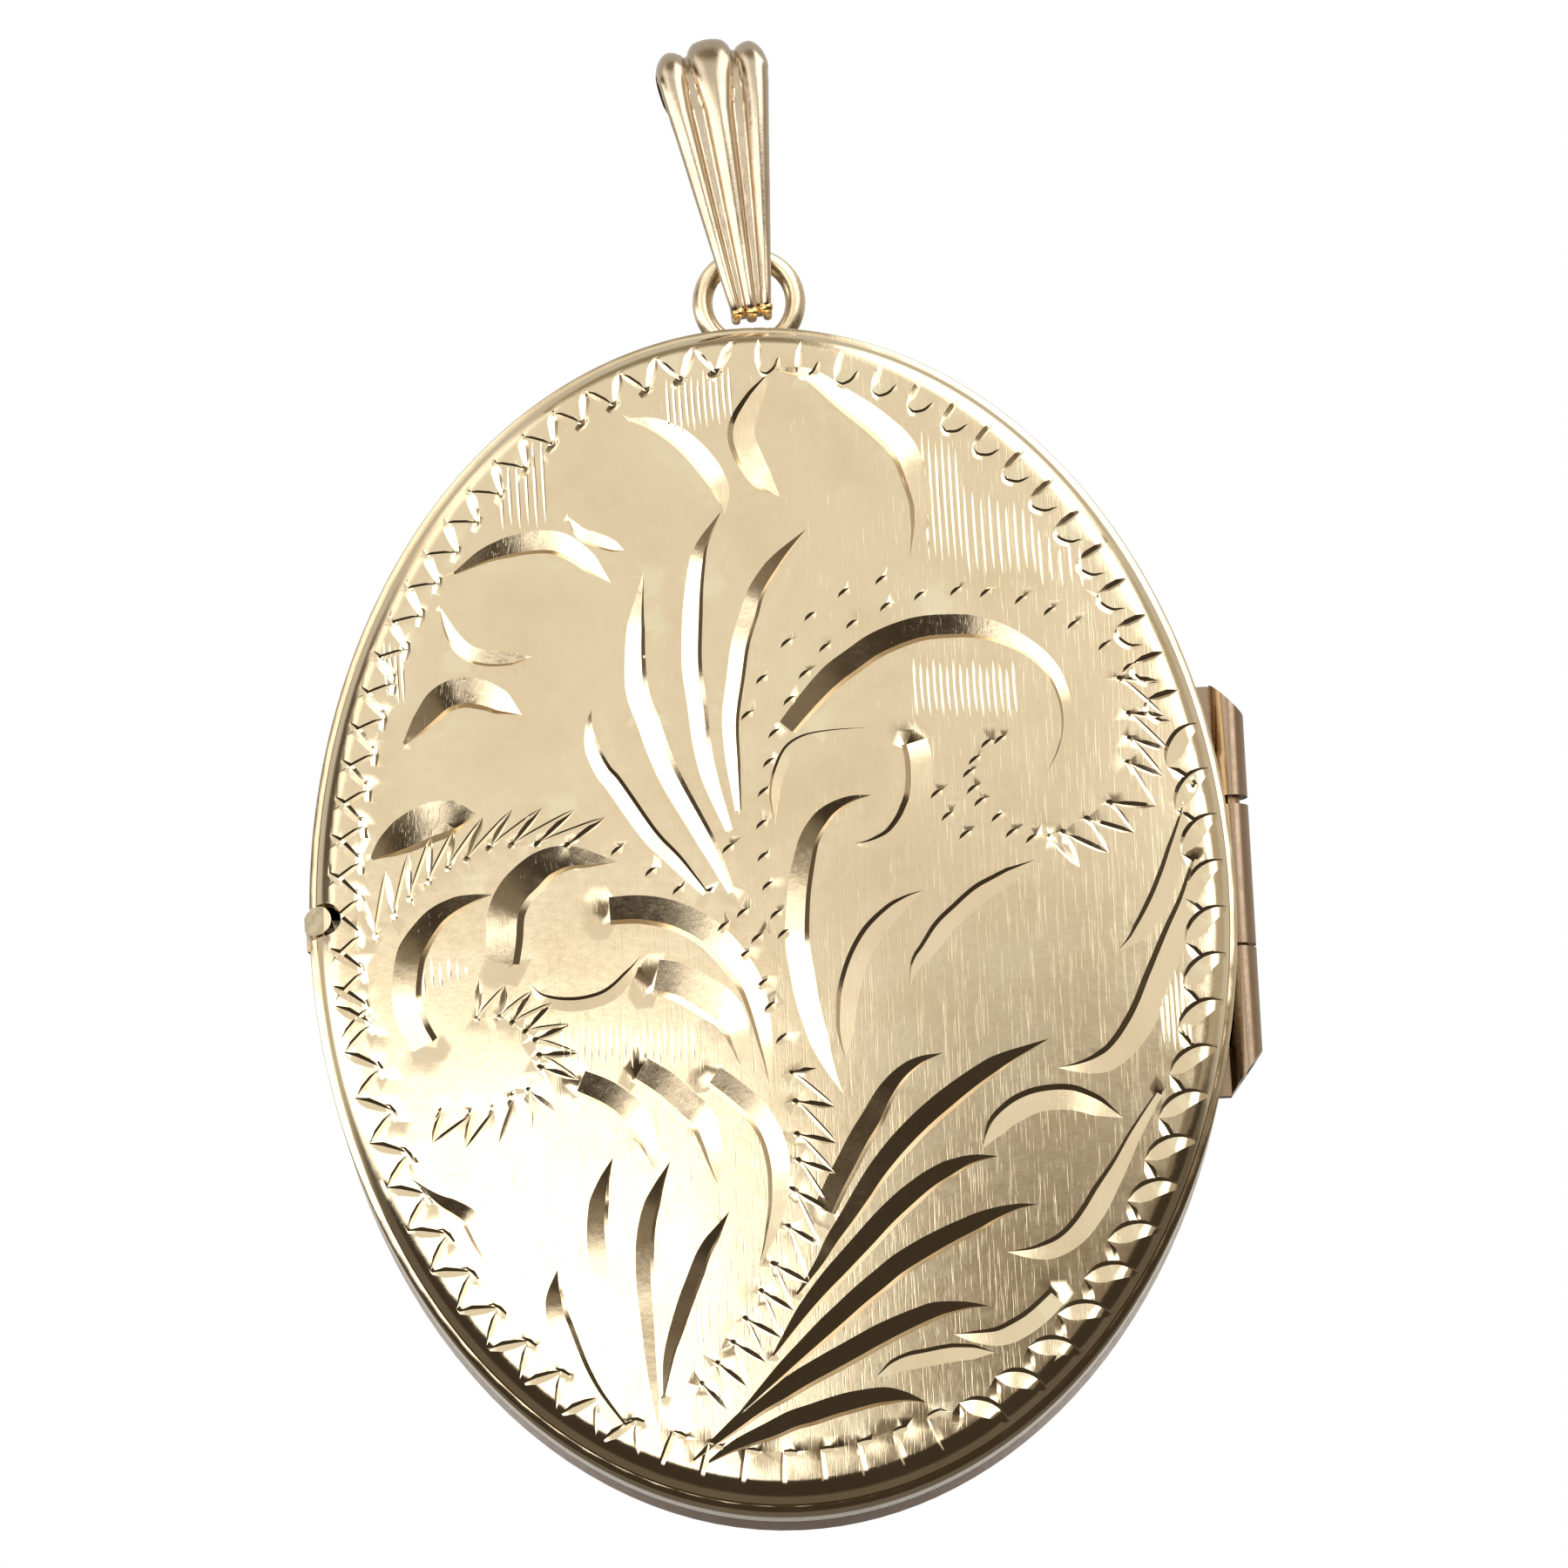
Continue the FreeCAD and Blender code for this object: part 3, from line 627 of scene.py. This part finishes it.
# Fine scratches: noise stretched along three directions, each as (turn about y in radians, scale along it)
SCRATCH_LAYS = ((0.7, 0.3), (-0.6, 0.48), (1.9, 0.66))
SCRATCHES_PER_MM = 16
CARD_MOTTLE_PER_M = 900.0


def metal(name, colour, shade, rough, grain, scratch, wear=0.35):
    """Worn satin gold: light and tarnished tints, roughness, bump depths in millimetres and edge wear."""
    mat = bpy.data.materials.new(name)
    mat.use_nodes = True
    tree = mat.node_tree
    link = tree.links.new
    shader = tree.nodes["Principled BSDF"]
    shader.inputs["Metallic"].default_value = 1
    place_at = node(tree, "ShaderNodeTexCoord")
    scale = node(tree, "ShaderNodeMapping")
    scale.inputs["Scale"].default_value = (1 / MM, 1 / MM, 1 / MM)
    link(place_at.outputs["Object"], scale.inputs["Vector"])
    mottle = node(tree, "ShaderNodeTexNoise", Scale=0.35, Detail=6.0, Roughness=0.6)
    fine = node(tree, "ShaderNodeTexNoise", Scale=4.0, Detail=5.0, Roughness=0.65)
    link(scale.outputs["Vector"], mottle.inputs["Vector"])
    link(scale.outputs["Vector"], fine.inputs["Vector"])
    heights = []
    for turn, stretch in SCRATCH_LAYS:
        lay = node(tree, "ShaderNodeMapping")
        lay.inputs["Rotation"].default_value = (0, turn, 0)
        lay.inputs["Scale"].default_value = (SCRATCHES_PER_MM, SCRATCHES_PER_MM, stretch)
        lines = node(tree, "ShaderNodeTexNoise", Scale=1.0, Detail=2.0, Roughness=0.5)
        link(scale.outputs["Vector"], lay.inputs["Vector"])
        link(lay.outputs["Vector"], lines.inputs["Vector"])
        ridge = node(tree, "ShaderNodeMapRange", interpolation_type="SMOOTHSTEP")
        ridge.inputs["From Min"].default_value = 0.60
        ridge.inputs["From Max"].default_value = 0.74
        link(lines.outputs["Fac"], ridge.inputs["Value"])
        heights.append(ridge.outputs["Result"])
    total = heights[0]
    for other in heights[1:]:
        add = node(tree, "ShaderNodeMath", operation="ADD")
        link(total, add.inputs[0])
        link(other, add.inputs[1])
        total = add.outputs[0]
    tint = node(tree, "ShaderNodeMix", data_type="RGBA")
    spread = node(tree, "ShaderNodeMapRange")
    spread.inputs["From Min"].default_value = 0.35
    spread.inputs["From Max"].default_value = 0.75
    link(mottle.outputs["Fac"], spread.inputs["Value"])
    link(spread.outputs["Result"], tint.inputs["Factor"])
    tint.inputs["A"].default_value = (*colour, 1)
    tint.inputs["B"].default_value = (*shade, 1)
    edge = node(tree, "ShaderNodeNewGeometry")
    worn = node(tree, "ShaderNodeMapRange")
    worn.inputs["From Min"].default_value = 0.505
    worn.inputs["From Max"].default_value = 0.56
    worn.inputs["To Max"].default_value = wear
    link(edge.outputs["Pointiness"], worn.inputs["Value"])
    rub = node(tree, "ShaderNodeMix", data_type="RGBA")
    link(worn.outputs["Result"], rub.inputs["Factor"])
    link(tint.outputs["Result"], rub.inputs["A"])
    rub.inputs["B"].default_value = (*[min(1, c * 1.2 + 0.05) for c in colour], 1)
    link(rub.outputs["Result"], shader.inputs["Base Color"])
    gloss = node(tree, "ShaderNodeMapRange")
    gloss.inputs["From Min"].default_value = 0.3
    gloss.inputs["From Max"].default_value = 0.7
    gloss.inputs["To Min"].default_value = rough * 0.75
    gloss.inputs["To Max"].default_value = rough * 1.35
    link(fine.outputs["Fac"], gloss.inputs["Value"])
    link(gloss.outputs["Result"], shader.inputs["Roughness"])
    soft = node(tree, "ShaderNodeBump", Strength=1.0, Distance=grain * MM)
    link(fine.outputs["Fac"], soft.inputs["Height"])
    marks = node(tree, "ShaderNodeBump", Strength=1.0, Distance=scratch * MM, invert=True)
    link(total, marks.inputs["Height"])
    link(soft.outputs["Normal"], marks.inputs["Normal"])
    link(marks.outputs["Normal"], shader.inputs["Normal"])
    return mat


def plain(name, colour, shade, rough, grain, clear=0.0):
    """Card, floor or clear plastic: a faintly mottled colour and surface. clear is the share let through."""
    mat = bpy.data.materials.new(name)
    mat.use_nodes = True
    tree = mat.node_tree
    link = tree.links.new
    shader = tree.nodes["Principled BSDF"]
    shader.inputs["Alpha"].default_value = 1 - clear
    shader.inputs["IOR"].default_value = 1.49
    place_at = node(tree, "ShaderNodeTexCoord")
    mottle = node(tree, "ShaderNodeTexNoise", Scale=CARD_MOTTLE_PER_M, Detail=6.0)
    link(place_at.outputs["Object"], mottle.inputs["Vector"])
    tint = node(tree, "ShaderNodeMix", data_type="RGBA")
    tint.inputs["A"].default_value = (*colour, 1)
    tint.inputs["B"].default_value = (*shade, 1)
    link(mottle.outputs["Fac"], tint.inputs["Factor"])
    link(tint.outputs["Result"], shader.inputs["Base Color"])
    gloss = node(tree, "ShaderNodeMapRange")
    gloss.inputs["To Min"].default_value = rough * 0.7
    gloss.inputs["To Max"].default_value = rough * 1.3
    link(mottle.outputs["Fac"], gloss.inputs["Value"])
    link(gloss.outputs["Result"], shader.inputs["Roughness"])
    bump = node(tree, "ShaderNodeBump", Strength=1.0, Distance=grain * MM)
    link(mottle.outputs["Fac"], bump.inputs["Height"])
    link(bump.outputs["Normal"], shader.inputs["Normal"])
    return mat


GOLD = (0.88, 0.73, 0.50)
GOLD_SHADE = (0.80, 0.63, 0.40)
# Painted shade: the case gold is a darker, redder copy of the gold, standing in for the shade on the back
# cover's wall seen from below
CASE_GOLD_PAINTED_SHADE = (0.58, 0.40, 0.27)
CASE_GOLD_PAINTED_SHADE_DARK = (0.42, 0.27, 0.16)
# Painted shade: the hinge's gold is a darker copy of the gold, standing in for the shade and dark
# reflections on the knuckles
HINGE_GOLD_PAINTED_SHADE = (0.38, 0.27, 0.18)
HINGE_GOLD_PAINTED_SHADE_DARK = (0.26, 0.18, 0.11)
FINISH = {
    "engraved_gold": metal("engraved_gold", GOLD, GOLD_SHADE, 0.1, 0.0015, 0.0007),
    # The case's darker, redder gold is painted shade
    "case_gold": metal("case_gold", CASE_GOLD_PAINTED_SHADE, CASE_GOLD_PAINTED_SHADE_DARK, 0.2, 0.0015, 0.001),
    "inner_gold": metal("inner_gold", GOLD, GOLD_SHADE, 0.2, 0.0015, 0.001),
    "frame_gold": metal("frame_gold", GOLD, GOLD_SHADE, 0.16, 0.0015, 0.001),
    # The hinge's darker gold is painted shade
    "hinge_gold": metal("hinge_gold", HINGE_GOLD_PAINTED_SHADE, HINGE_GOLD_PAINTED_SHADE_DARK, 0.24, 0.002, 0.001),
    "pin_gold": metal("pin_gold", CASE_GOLD_PAINTED_SHADE_DARK, CASE_GOLD_PAINTED_SHADE_DARK, 0.35, 0.004, 0.002),
    "catch_gold": metal("catch_gold", GOLD, GOLD_SHADE, 0.18, 0.0015, 0.001),
    "ring_gold": metal("ring_gold", GOLD, GOLD_SHADE, 0.25, 0.0025, 0.001),
    "bail_gold": metal("bail_gold", (0.64, 0.53, 0.39), (0.50, 0.39, 0.27), 0.17, 0.004, 0.001),
    # Painted reflection: the beads' orange stands in for gold mirrored in the gold around them at the bail's
    # shaded foot
    "bead_gold_painted_reflection": metal("bead_gold_painted_reflection", (0.95, 0.60, 0.25), (0.75, 0.42, 0.15), 0.16, 0.003, 0.001),
    "clear_plastic": plain("clear_plastic", (0.95, 0.95, 0.93), (0.9, 0.9, 0.88), 0.06, 0.001, clear=0.82),
    "blank_card": plain("blank_card", (0.84, 0.80, 0.72), (0.74, 0.69, 0.60), 0.7, 0.02),
}
SLOTS = {
    "case_gold": ["back_cover", "thumb_lip"],
    "inner_gold": ["front_bezel", "back_bezel"],
    "frame_gold": ["front_photo_frame", "back_photo_frame"],
    "hinge_gold": ["hinge_knuckle_upper", "hinge_knuckle_middle", "hinge_knuckle_lower"],
    "pin_gold": ["hinge_pin"],
    "catch_gold": ["catch_tongue", "catch_foot"],
    "ring_gold": ["bow_ring"],
    "bail_gold": ["bail"],
    "blank_card": ["front_photo_card", "back_photo_card"],
}


def paint_cad_nodes():
    """Gives every CAD node that stays in view its finish."""
    for finish, names in SLOTS.items():
        for name in names:
            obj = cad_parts[name]
            for s in obj.material_slots:
                s.material = FINISH[finish]
            if not obj.material_slots:
                obj.data.materials.append(FINISH[finish])


def finish_piece(obj, finish, body, replaced=()):
    """Gives a piece its finish, the CAD nodes it replaces and the body it rides on."""
    obj.data.materials.clear()
    obj.data.materials.append(FINISH[finish])
    if replaced:
        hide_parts(*replaced)
    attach(obj, body)


# ---------------------------------------------------------------- the clear panes

PANE_GAP, PANE_ROLL, PANE_STEPS = 0.02, 0.05, 120


def pane_object(name, window):
    """A clear pane in place of a CAD window, a hair clear of the card and the frame, its rim rolled over."""
    low, high = (Vector(corner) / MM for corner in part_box(window))
    middle, half = (low + high) / 2, (high - low) / 2 - Vector((PANE_GAP, PANE_GAP, PANE_GAP))
    bm = bmesh.new()
    rings = []
    wall = half.y - PANE_ROLL
    for inset, y in ((PANE_ROLL, -half.y), (0, -wall), (0, wall), (PANE_ROLL, half.y)):
        ring = []
        for a in np.linspace(0, 2 * math.pi, PANE_STEPS, endpoint=False):
            out = Vector(((half.x - inset) * math.cos(a), y, (half.z - inset) * math.sin(a)))
            ring.append(bm.verts.new((middle + out) * MM))
        rings.append(ring)
    for lower, upper in zip(rings[:-1], rings[1:]):
        for k in range(PANE_STEPS):
            n = (k + 1) % PANE_STEPS
            bm.faces.new([lower[k], lower[n], upper[n], upper[k]])
    bm.faces.new(rings[0][::-1])
    bm.faces.new(rings[-1])
    bmesh.ops.recalc_face_normals(bm, faces=bm.faces)
    return object_from(bm, name)


# ---------------------------------------------------------------- the bail

WIRE_TOP = (0.758, 0.0, -6.758)
BAIL_UP = Vector((-0.11147, 0, 0.99377))
BAIL_SIDE = Vector((0.99377, 0, 0.11147))

# The bail, drawn about the bow wire's centre: its legs from the side as (depth, height), and half widths
# as (height, half width).
FRONT_LEG = [
    (-0.4, -2.2), (-0.85, -2.16), (-1.12, -2), (-1.2, -1.7), (-1.24, -1.2), (-1.28, -0.5), (-1.34, 0.3),
    (-1.47, 1.6), (-1.62, 3.2), (-1.7, 4.4),
]
BACK_LEG = [
    (0.3, -1.8), (0.66, -1.45), (1, -0.95), (1.24, -0.4), (1.34, 0.3), (1.45, 1.6), (1.6, 3.6), (1.7, 5),
]
BEND_Z, BEND_R = 5.4, 1.72
BAIL_T = 0.3
HALF_WIDTHS = [(-1.88, 0.64), (0, 0.92), (1.7, 1.17), (3.4, 1.41), (5.1, 1.665), (5.9, 1.74), (7.2, 1.74)]
BACK_LEG_NARROWER = 0.2
INSIDE_SHARE = 0.985
# Across one half: the middle rib's edge and the side rib's start as shares of the half width, on the legs
# and on the bend, where the ribs swell into lobes that almost meet.
LEG_RIBS, BEND_RIBS = (0.27, 0.53), (0.4, 0.46)
SWELL_FROM, SWELL_TO = 4.4, 6.2
RIB_SQUARENESS = 2.0
FLUTE_DEPTH_TIP, FLUTE_DEPTH_TOP = 0.16, 0.34
SIDE_DROP, CORNER_DROP, CORNER_FROM = 0.26, 0.34, 0.7
BAIL_ACROSS = 60
INSIDE_EVERY = 4
BEND_POINTS = 13
BAIL_STEP = 0.12
BAIL_CREASE = math.radians(50)


def flute_profile(u, z):
    """How far the bail's outside is sunk at u, from 0 on a rib's crest to 1 on a groove's floor."""
    u = abs(u)
    edge, start = (float(np.interp(z, (SWELL_FROM, SWELL_TO), pair)) for pair in zip(LEG_RIBS, BEND_RIBS))
    if u < edge:
        t = u / edge
    elif u < start:
        return 1.0
    else:
        centre = (1 + start) / 2
        t = abs(u - centre) / (1 - centre)
    return 1 - max(0.0, 1 - min(1.0, t) ** RIB_SQUARENESS) ** (1 / RIB_SQUARENESS)


def side_drop(u):
    """How much lower the side lobes stand on the bend, with their outer corners rounded off."""
    side_rib = min(1.0, max(0.0, (abs(u) - LEG_RIBS[0]) / (LEG_RIBS[1] - LEG_RIBS[0])))
    corner = max(0.0, (abs(u) - CORNER_FROM) / (1 - CORNER_FROM)) ** 2
    return SIDE_DROP * side_rib + CORNER_DROP * corner


def bail_loop():
    """The loop's outside from the front foot over the bend to the back foot, and its outward directions."""
    turns = np.linspace(0, math.pi, BEND_POINTS)
    arc = [(-BEND_R * math.cos(a), BEND_Z + BEND_R * math.sin(a)) for a in turns]
    line = smooth_line(FRONT_LEG + arc + BACK_LEG[::-1], BAIL_STEP)
    travel = np.gradient(line, axis=0)
    travel /= np.linalg.norm(travel, axis=1)[:, None]
    return line, np.column_stack([-travel[:, 1], travel[:, 0]])


def bail_point(side, y, z):
    """A point of the leaning bail in metres, from the bow wire's centre."""
    return (Vector(WIRE_TOP) + BAIL_SIDE * float(side) + BAIL_UP * float(z) + Vector((0, float(y), 0))) * MM


def bail_object():
    """The fluted loop: three round ribs with flat floored grooves, narrow at the foot, lobed at the top."""
    line, out = bail_loop()
    heights, halves = zip(*HALF_WIDTHS)
    across = np.linspace(-1, 1, BAIL_ACROSS + 1)
    top = BEND_Z + BEND_R
    bm = bmesh.new()
    rings = []
    for (y, z), (ny, nz) in zip(line, out):
        half = float(np.interp(z, heights, halves))
        if y > 0:
            half -= BACK_LEG_NARROWER * min(1.0, max(0.0, (BEND_Z + BEND_R - z) / BEND_R))
        share = (z - heights[0]) / (top - heights[0])
        deep = FLUTE_DEPTH_TIP + (FLUTE_DEPTH_TOP - FLUTE_DEPTH_TIP) * share
        over = max(0.0, (z - BEND_Z) / BEND_R)
        ring = []
        for u in across:
            drop = over * side_drop(u)
            sunk = deep * flute_profile(u, z)
            ring.append(bm.verts.new(bail_point(u * half, y - ny * sunk, z - nz * sunk - drop)))
        for u in across[::-INSIDE_EVERY]:
            drop = over * side_drop(u)
            inner_half = half * INSIDE_SHARE
            ring.append(bm.verts.new(bail_point(u * inner_half, y - ny * BAIL_T, z - nz * BAIL_T - drop)))
        rings.append(ring)
    count = len(rings[0])
    for a, b in zip(rings[:-1], rings[1:]):
        for k in range(count):
            n = (k + 1) % count
            bm.faces.new([a[k], a[n], b[n], b[k]])
    bm.faces.new(rings[0][::-1])
    bm.faces.new(rings[-1])
    bmesh.ops.recalc_face_normals(bm, faces=bm.faces)
    for f in bm.faces:
        f.smooth = True
    obj = object_from(bm, "fluted_bail")
    obj.data.set_sharp_from_angle(angle=BAIL_CREASE)
    return obj


# Each bead as (height, place across the bail, radius)
BEADS = ((-1.98, -0.40, 0.19), (-2.02, 0.03, 0.19), (-1.96, 0.46, 0.2))
BEAD_Y = -1.02
BEAD_FLATNESS = 0.7
BEAD_WOBBLE = 0.012


def bead_object():
    """Three soldered gold beads at the bail's pointed foot."""
    bm = bmesh.new()
    for along, side, radius in BEADS:
        middle = Vector(WIRE_TOP) + along * BAIL_UP + side * BAIL_SIDE + Vector((0, BEAD_Y, 0))
        shape = Matrix.Translation(middle * MM) @ Matrix.Diagonal((1.05, BEAD_FLATNESS, 1, 1))
        grown = bmesh.ops.create_uvsphere(bm, u_segments=32, v_segments=20, radius=radius * MM, matrix=shape)
        for v in grown["verts"]:
            wobble = math.sin(v.co.x * 9000) * math.cos(v.co.z * 11000)
            v.co += (v.co - middle * MM).normalized() * BEAD_WOBBLE * MM * wobble
    for f in bm.faces:
        f.smooth = True
    return object_from(bm, "bail_beads")


# ---------------------------------------------------------------- stage, light and camera

CAMERA_AT = Vector((0.8662, -253.7975, -81.6337))
CAMERA_TO = Vector((1.3085, -0.36, -23.5886))
CAMERA_ROLL = math.radians(-2.67)
CAMERA_LENS = 195.62
FLOOR_Z_M = -0.16
FLOOR_HALF_M = 1.6


def make_camera():
    """A long lens in front of the locket, a little below it, looking up."""
    data = bpy.data.cameras.new("camera")
    data.lens = CAMERA_LENS
    data.sensor_width = 36
    data.clip_start = 0.01
    data.clip_end = 20
    cam = bpy.data.objects.new("camera", data)
    bpy.context.scene.collection.objects.link(cam)
    ahead = (CAMERA_TO - CAMERA_AT).normalized()
    right = ahead.cross(Vector((0, 0, 1))).normalized()
    up = right.cross(ahead)
    c, s = math.cos(CAMERA_ROLL), math.sin(CAMERA_ROLL)
    x, y = c * right + s * up, -s * right + c * up
    turn = Matrix((x, y, -ahead)).transposed().to_4x4()
    cam.matrix_world = Matrix.Translation(CAMERA_AT * MM) @ turn
    bpy.context.scene.camera = cam


def make_floor():
    """A plain pale floor well below the locket, which the gold doesn't mirror."""
    bm = bmesh.new()
    corners = [(-1, -1), (1, -1), (1, 1), (-1, 1)]
    bm.faces.new([bm.verts.new((x * FLOOR_HALF_M, y * FLOOR_HALF_M, FLOOR_Z_M)) for x, y in corners])
    floor = object_from(bm, "floor")
    floor.data.materials.append(plain("pale_floor", (0.80, 0.79, 0.77), (0.76, 0.75, 0.73), 0.7, 0.05))
    floor.visible_glossy = False


# The studio's brightnesses: the room itself, then the cards in it
ROOM = (0.88, 0.87, 0.83)
BRIGHT = (2.6, 2.6, 2.6)
CARD_LEFT = (1.5, 1.45, 1.4)
DARK_FAR_LEFT = (0.12, 0.1, 0.08)
DARK_TOP = (0.3, 0.26, 0.2)
DARK_LOW_RIGHT = (0.23, 0.195, 0.155)
GREY_FAR_RIGHT = (0.5, 0.45, 0.38)
DARK_BELOW = (0.05, 0.04, 0.03)
GREY_BEHIND = (0.62, 0.6, 0.57)
DARK_BEHIND_LOW = (0.14, 0.12, 0.1)


def step_mask(tree, value, start, end):
    """0 before start, 1 after end, smoothly between."""
    n = node(tree, "ShaderNodeMapRange", interpolation_type="SMOOTHSTEP")
    n.inputs["From Min"].default_value = min(start, end)
    n.inputs["From Max"].default_value = max(start, end)
    if start > end:
        n.inputs["To Min"].default_value = 1
        n.inputs["To Max"].default_value = 0
    tree.links.new(value, n.inputs["Value"])
    return n.outputs["Result"]


def both(tree, a, b):
    """The product of two masks."""
    n = node(tree, "ShaderNodeMath", operation="MULTIPLY")
    tree.links.new(a, n.inputs[0])
    tree.links.new(b, n.inputs[1])
    return n.outputs[0]


def make_studio():
    """A room of soft bright and dark cards, layered by direction. The camera itself sees plain white."""
    world = bpy.data.worlds.new("studio")
    bpy.context.scene.world = world
    world.use_nodes = True
    tree = world.node_tree
    link = tree.links.new
    ground = tree.nodes["Background"]
    ways = node(tree, "ShaderNodeTexCoord")
    split = node(tree, "ShaderNodeSeparateXYZ")
    link(ways.outputs["Generated"], split.inputs["Vector"])
    x, y, z = split.outputs["X"], split.outputs["Y"], split.outputs["Z"]

    def past(value, start, end):
        return step_mask(tree, value, start, end)

    level = both(tree, past(z, 0.21, 0.13), past(z, -0.2, -0.02))
    layers = [
        (CARD_LEFT, past(x, -0.3, -0.5)),
        (DARK_FAR_LEFT, past(x, -0.6, -0.85)),
        (DARK_TOP, past(z, 0.75, 0.95)),
        (DARK_LOW_RIGHT, both(tree, past(x, 0.0, 0.08), past(z, 0.25, 0.09))),
        (BRIGHT, both(tree, past(x, 0.12, 0.3), past(z, 0.1, 0.22))),
        (GREY_FAR_RIGHT, past(x, 0.6, 0.8)),
        (DARK_BELOW, past(z, 0.02, -0.1)),
        (BRIGHT, both(tree, past(x, 0.02, -0.05), level)),
        (GREY_BEHIND, past(y, -0.1, 0.25)),
        (DARK_BEHIND_LOW, both(tree, past(y, -0.3, 0.1), past(z, 0.05, -0.15))),
    ]
    shade = None
    for colour, mask in layers:
        mix = node(tree, "ShaderNodeMix", data_type="RGBA")
        link(mask, mix.inputs["Factor"])
        if shade is None:
            mix.inputs["A"].default_value = (*ROOM, 1)
        else:
            link(shade, mix.inputs["A"])
        mix.inputs["B"].default_value = (*colour, 1)
        shade = mix.outputs["Result"]
    eye = node(tree, "ShaderNodeLightPath")
    seen = node(tree, "ShaderNodeMix", data_type="RGBA")
    link(eye.outputs["Is Camera Ray"], seen.inputs["Factor"])
    link(shade, seen.inputs["A"])
    seen.inputs["B"].default_value = (1, 1, 1, 1)
    link(seen.outputs["Result"], ground.inputs["Color"])


cover = cover_object()
subtract(cover, [catch_slot(), hinge_seat()])
finish_piece(cover, "engraved_gold", "cover", ["front_cover"])
finish_piece(bail_object(), "bail_gold", "bail", ["bail"])
# The beads' orange gold is painted reflection
finish_piece(bead_object(), "bead_gold_painted_reflection", "bail")
finish_piece(pane_object("front_pane", "front_window"), "clear_plastic", "cover", ["front_window"])
finish_piece(pane_object("back_pane", "back_window"), "clear_plastic", "case_back", ["back_window"])
paint_cad_nodes()
make_camera()
make_floor()
make_studio()
bpy.context.scene.view_settings.view_transform = "Standard"
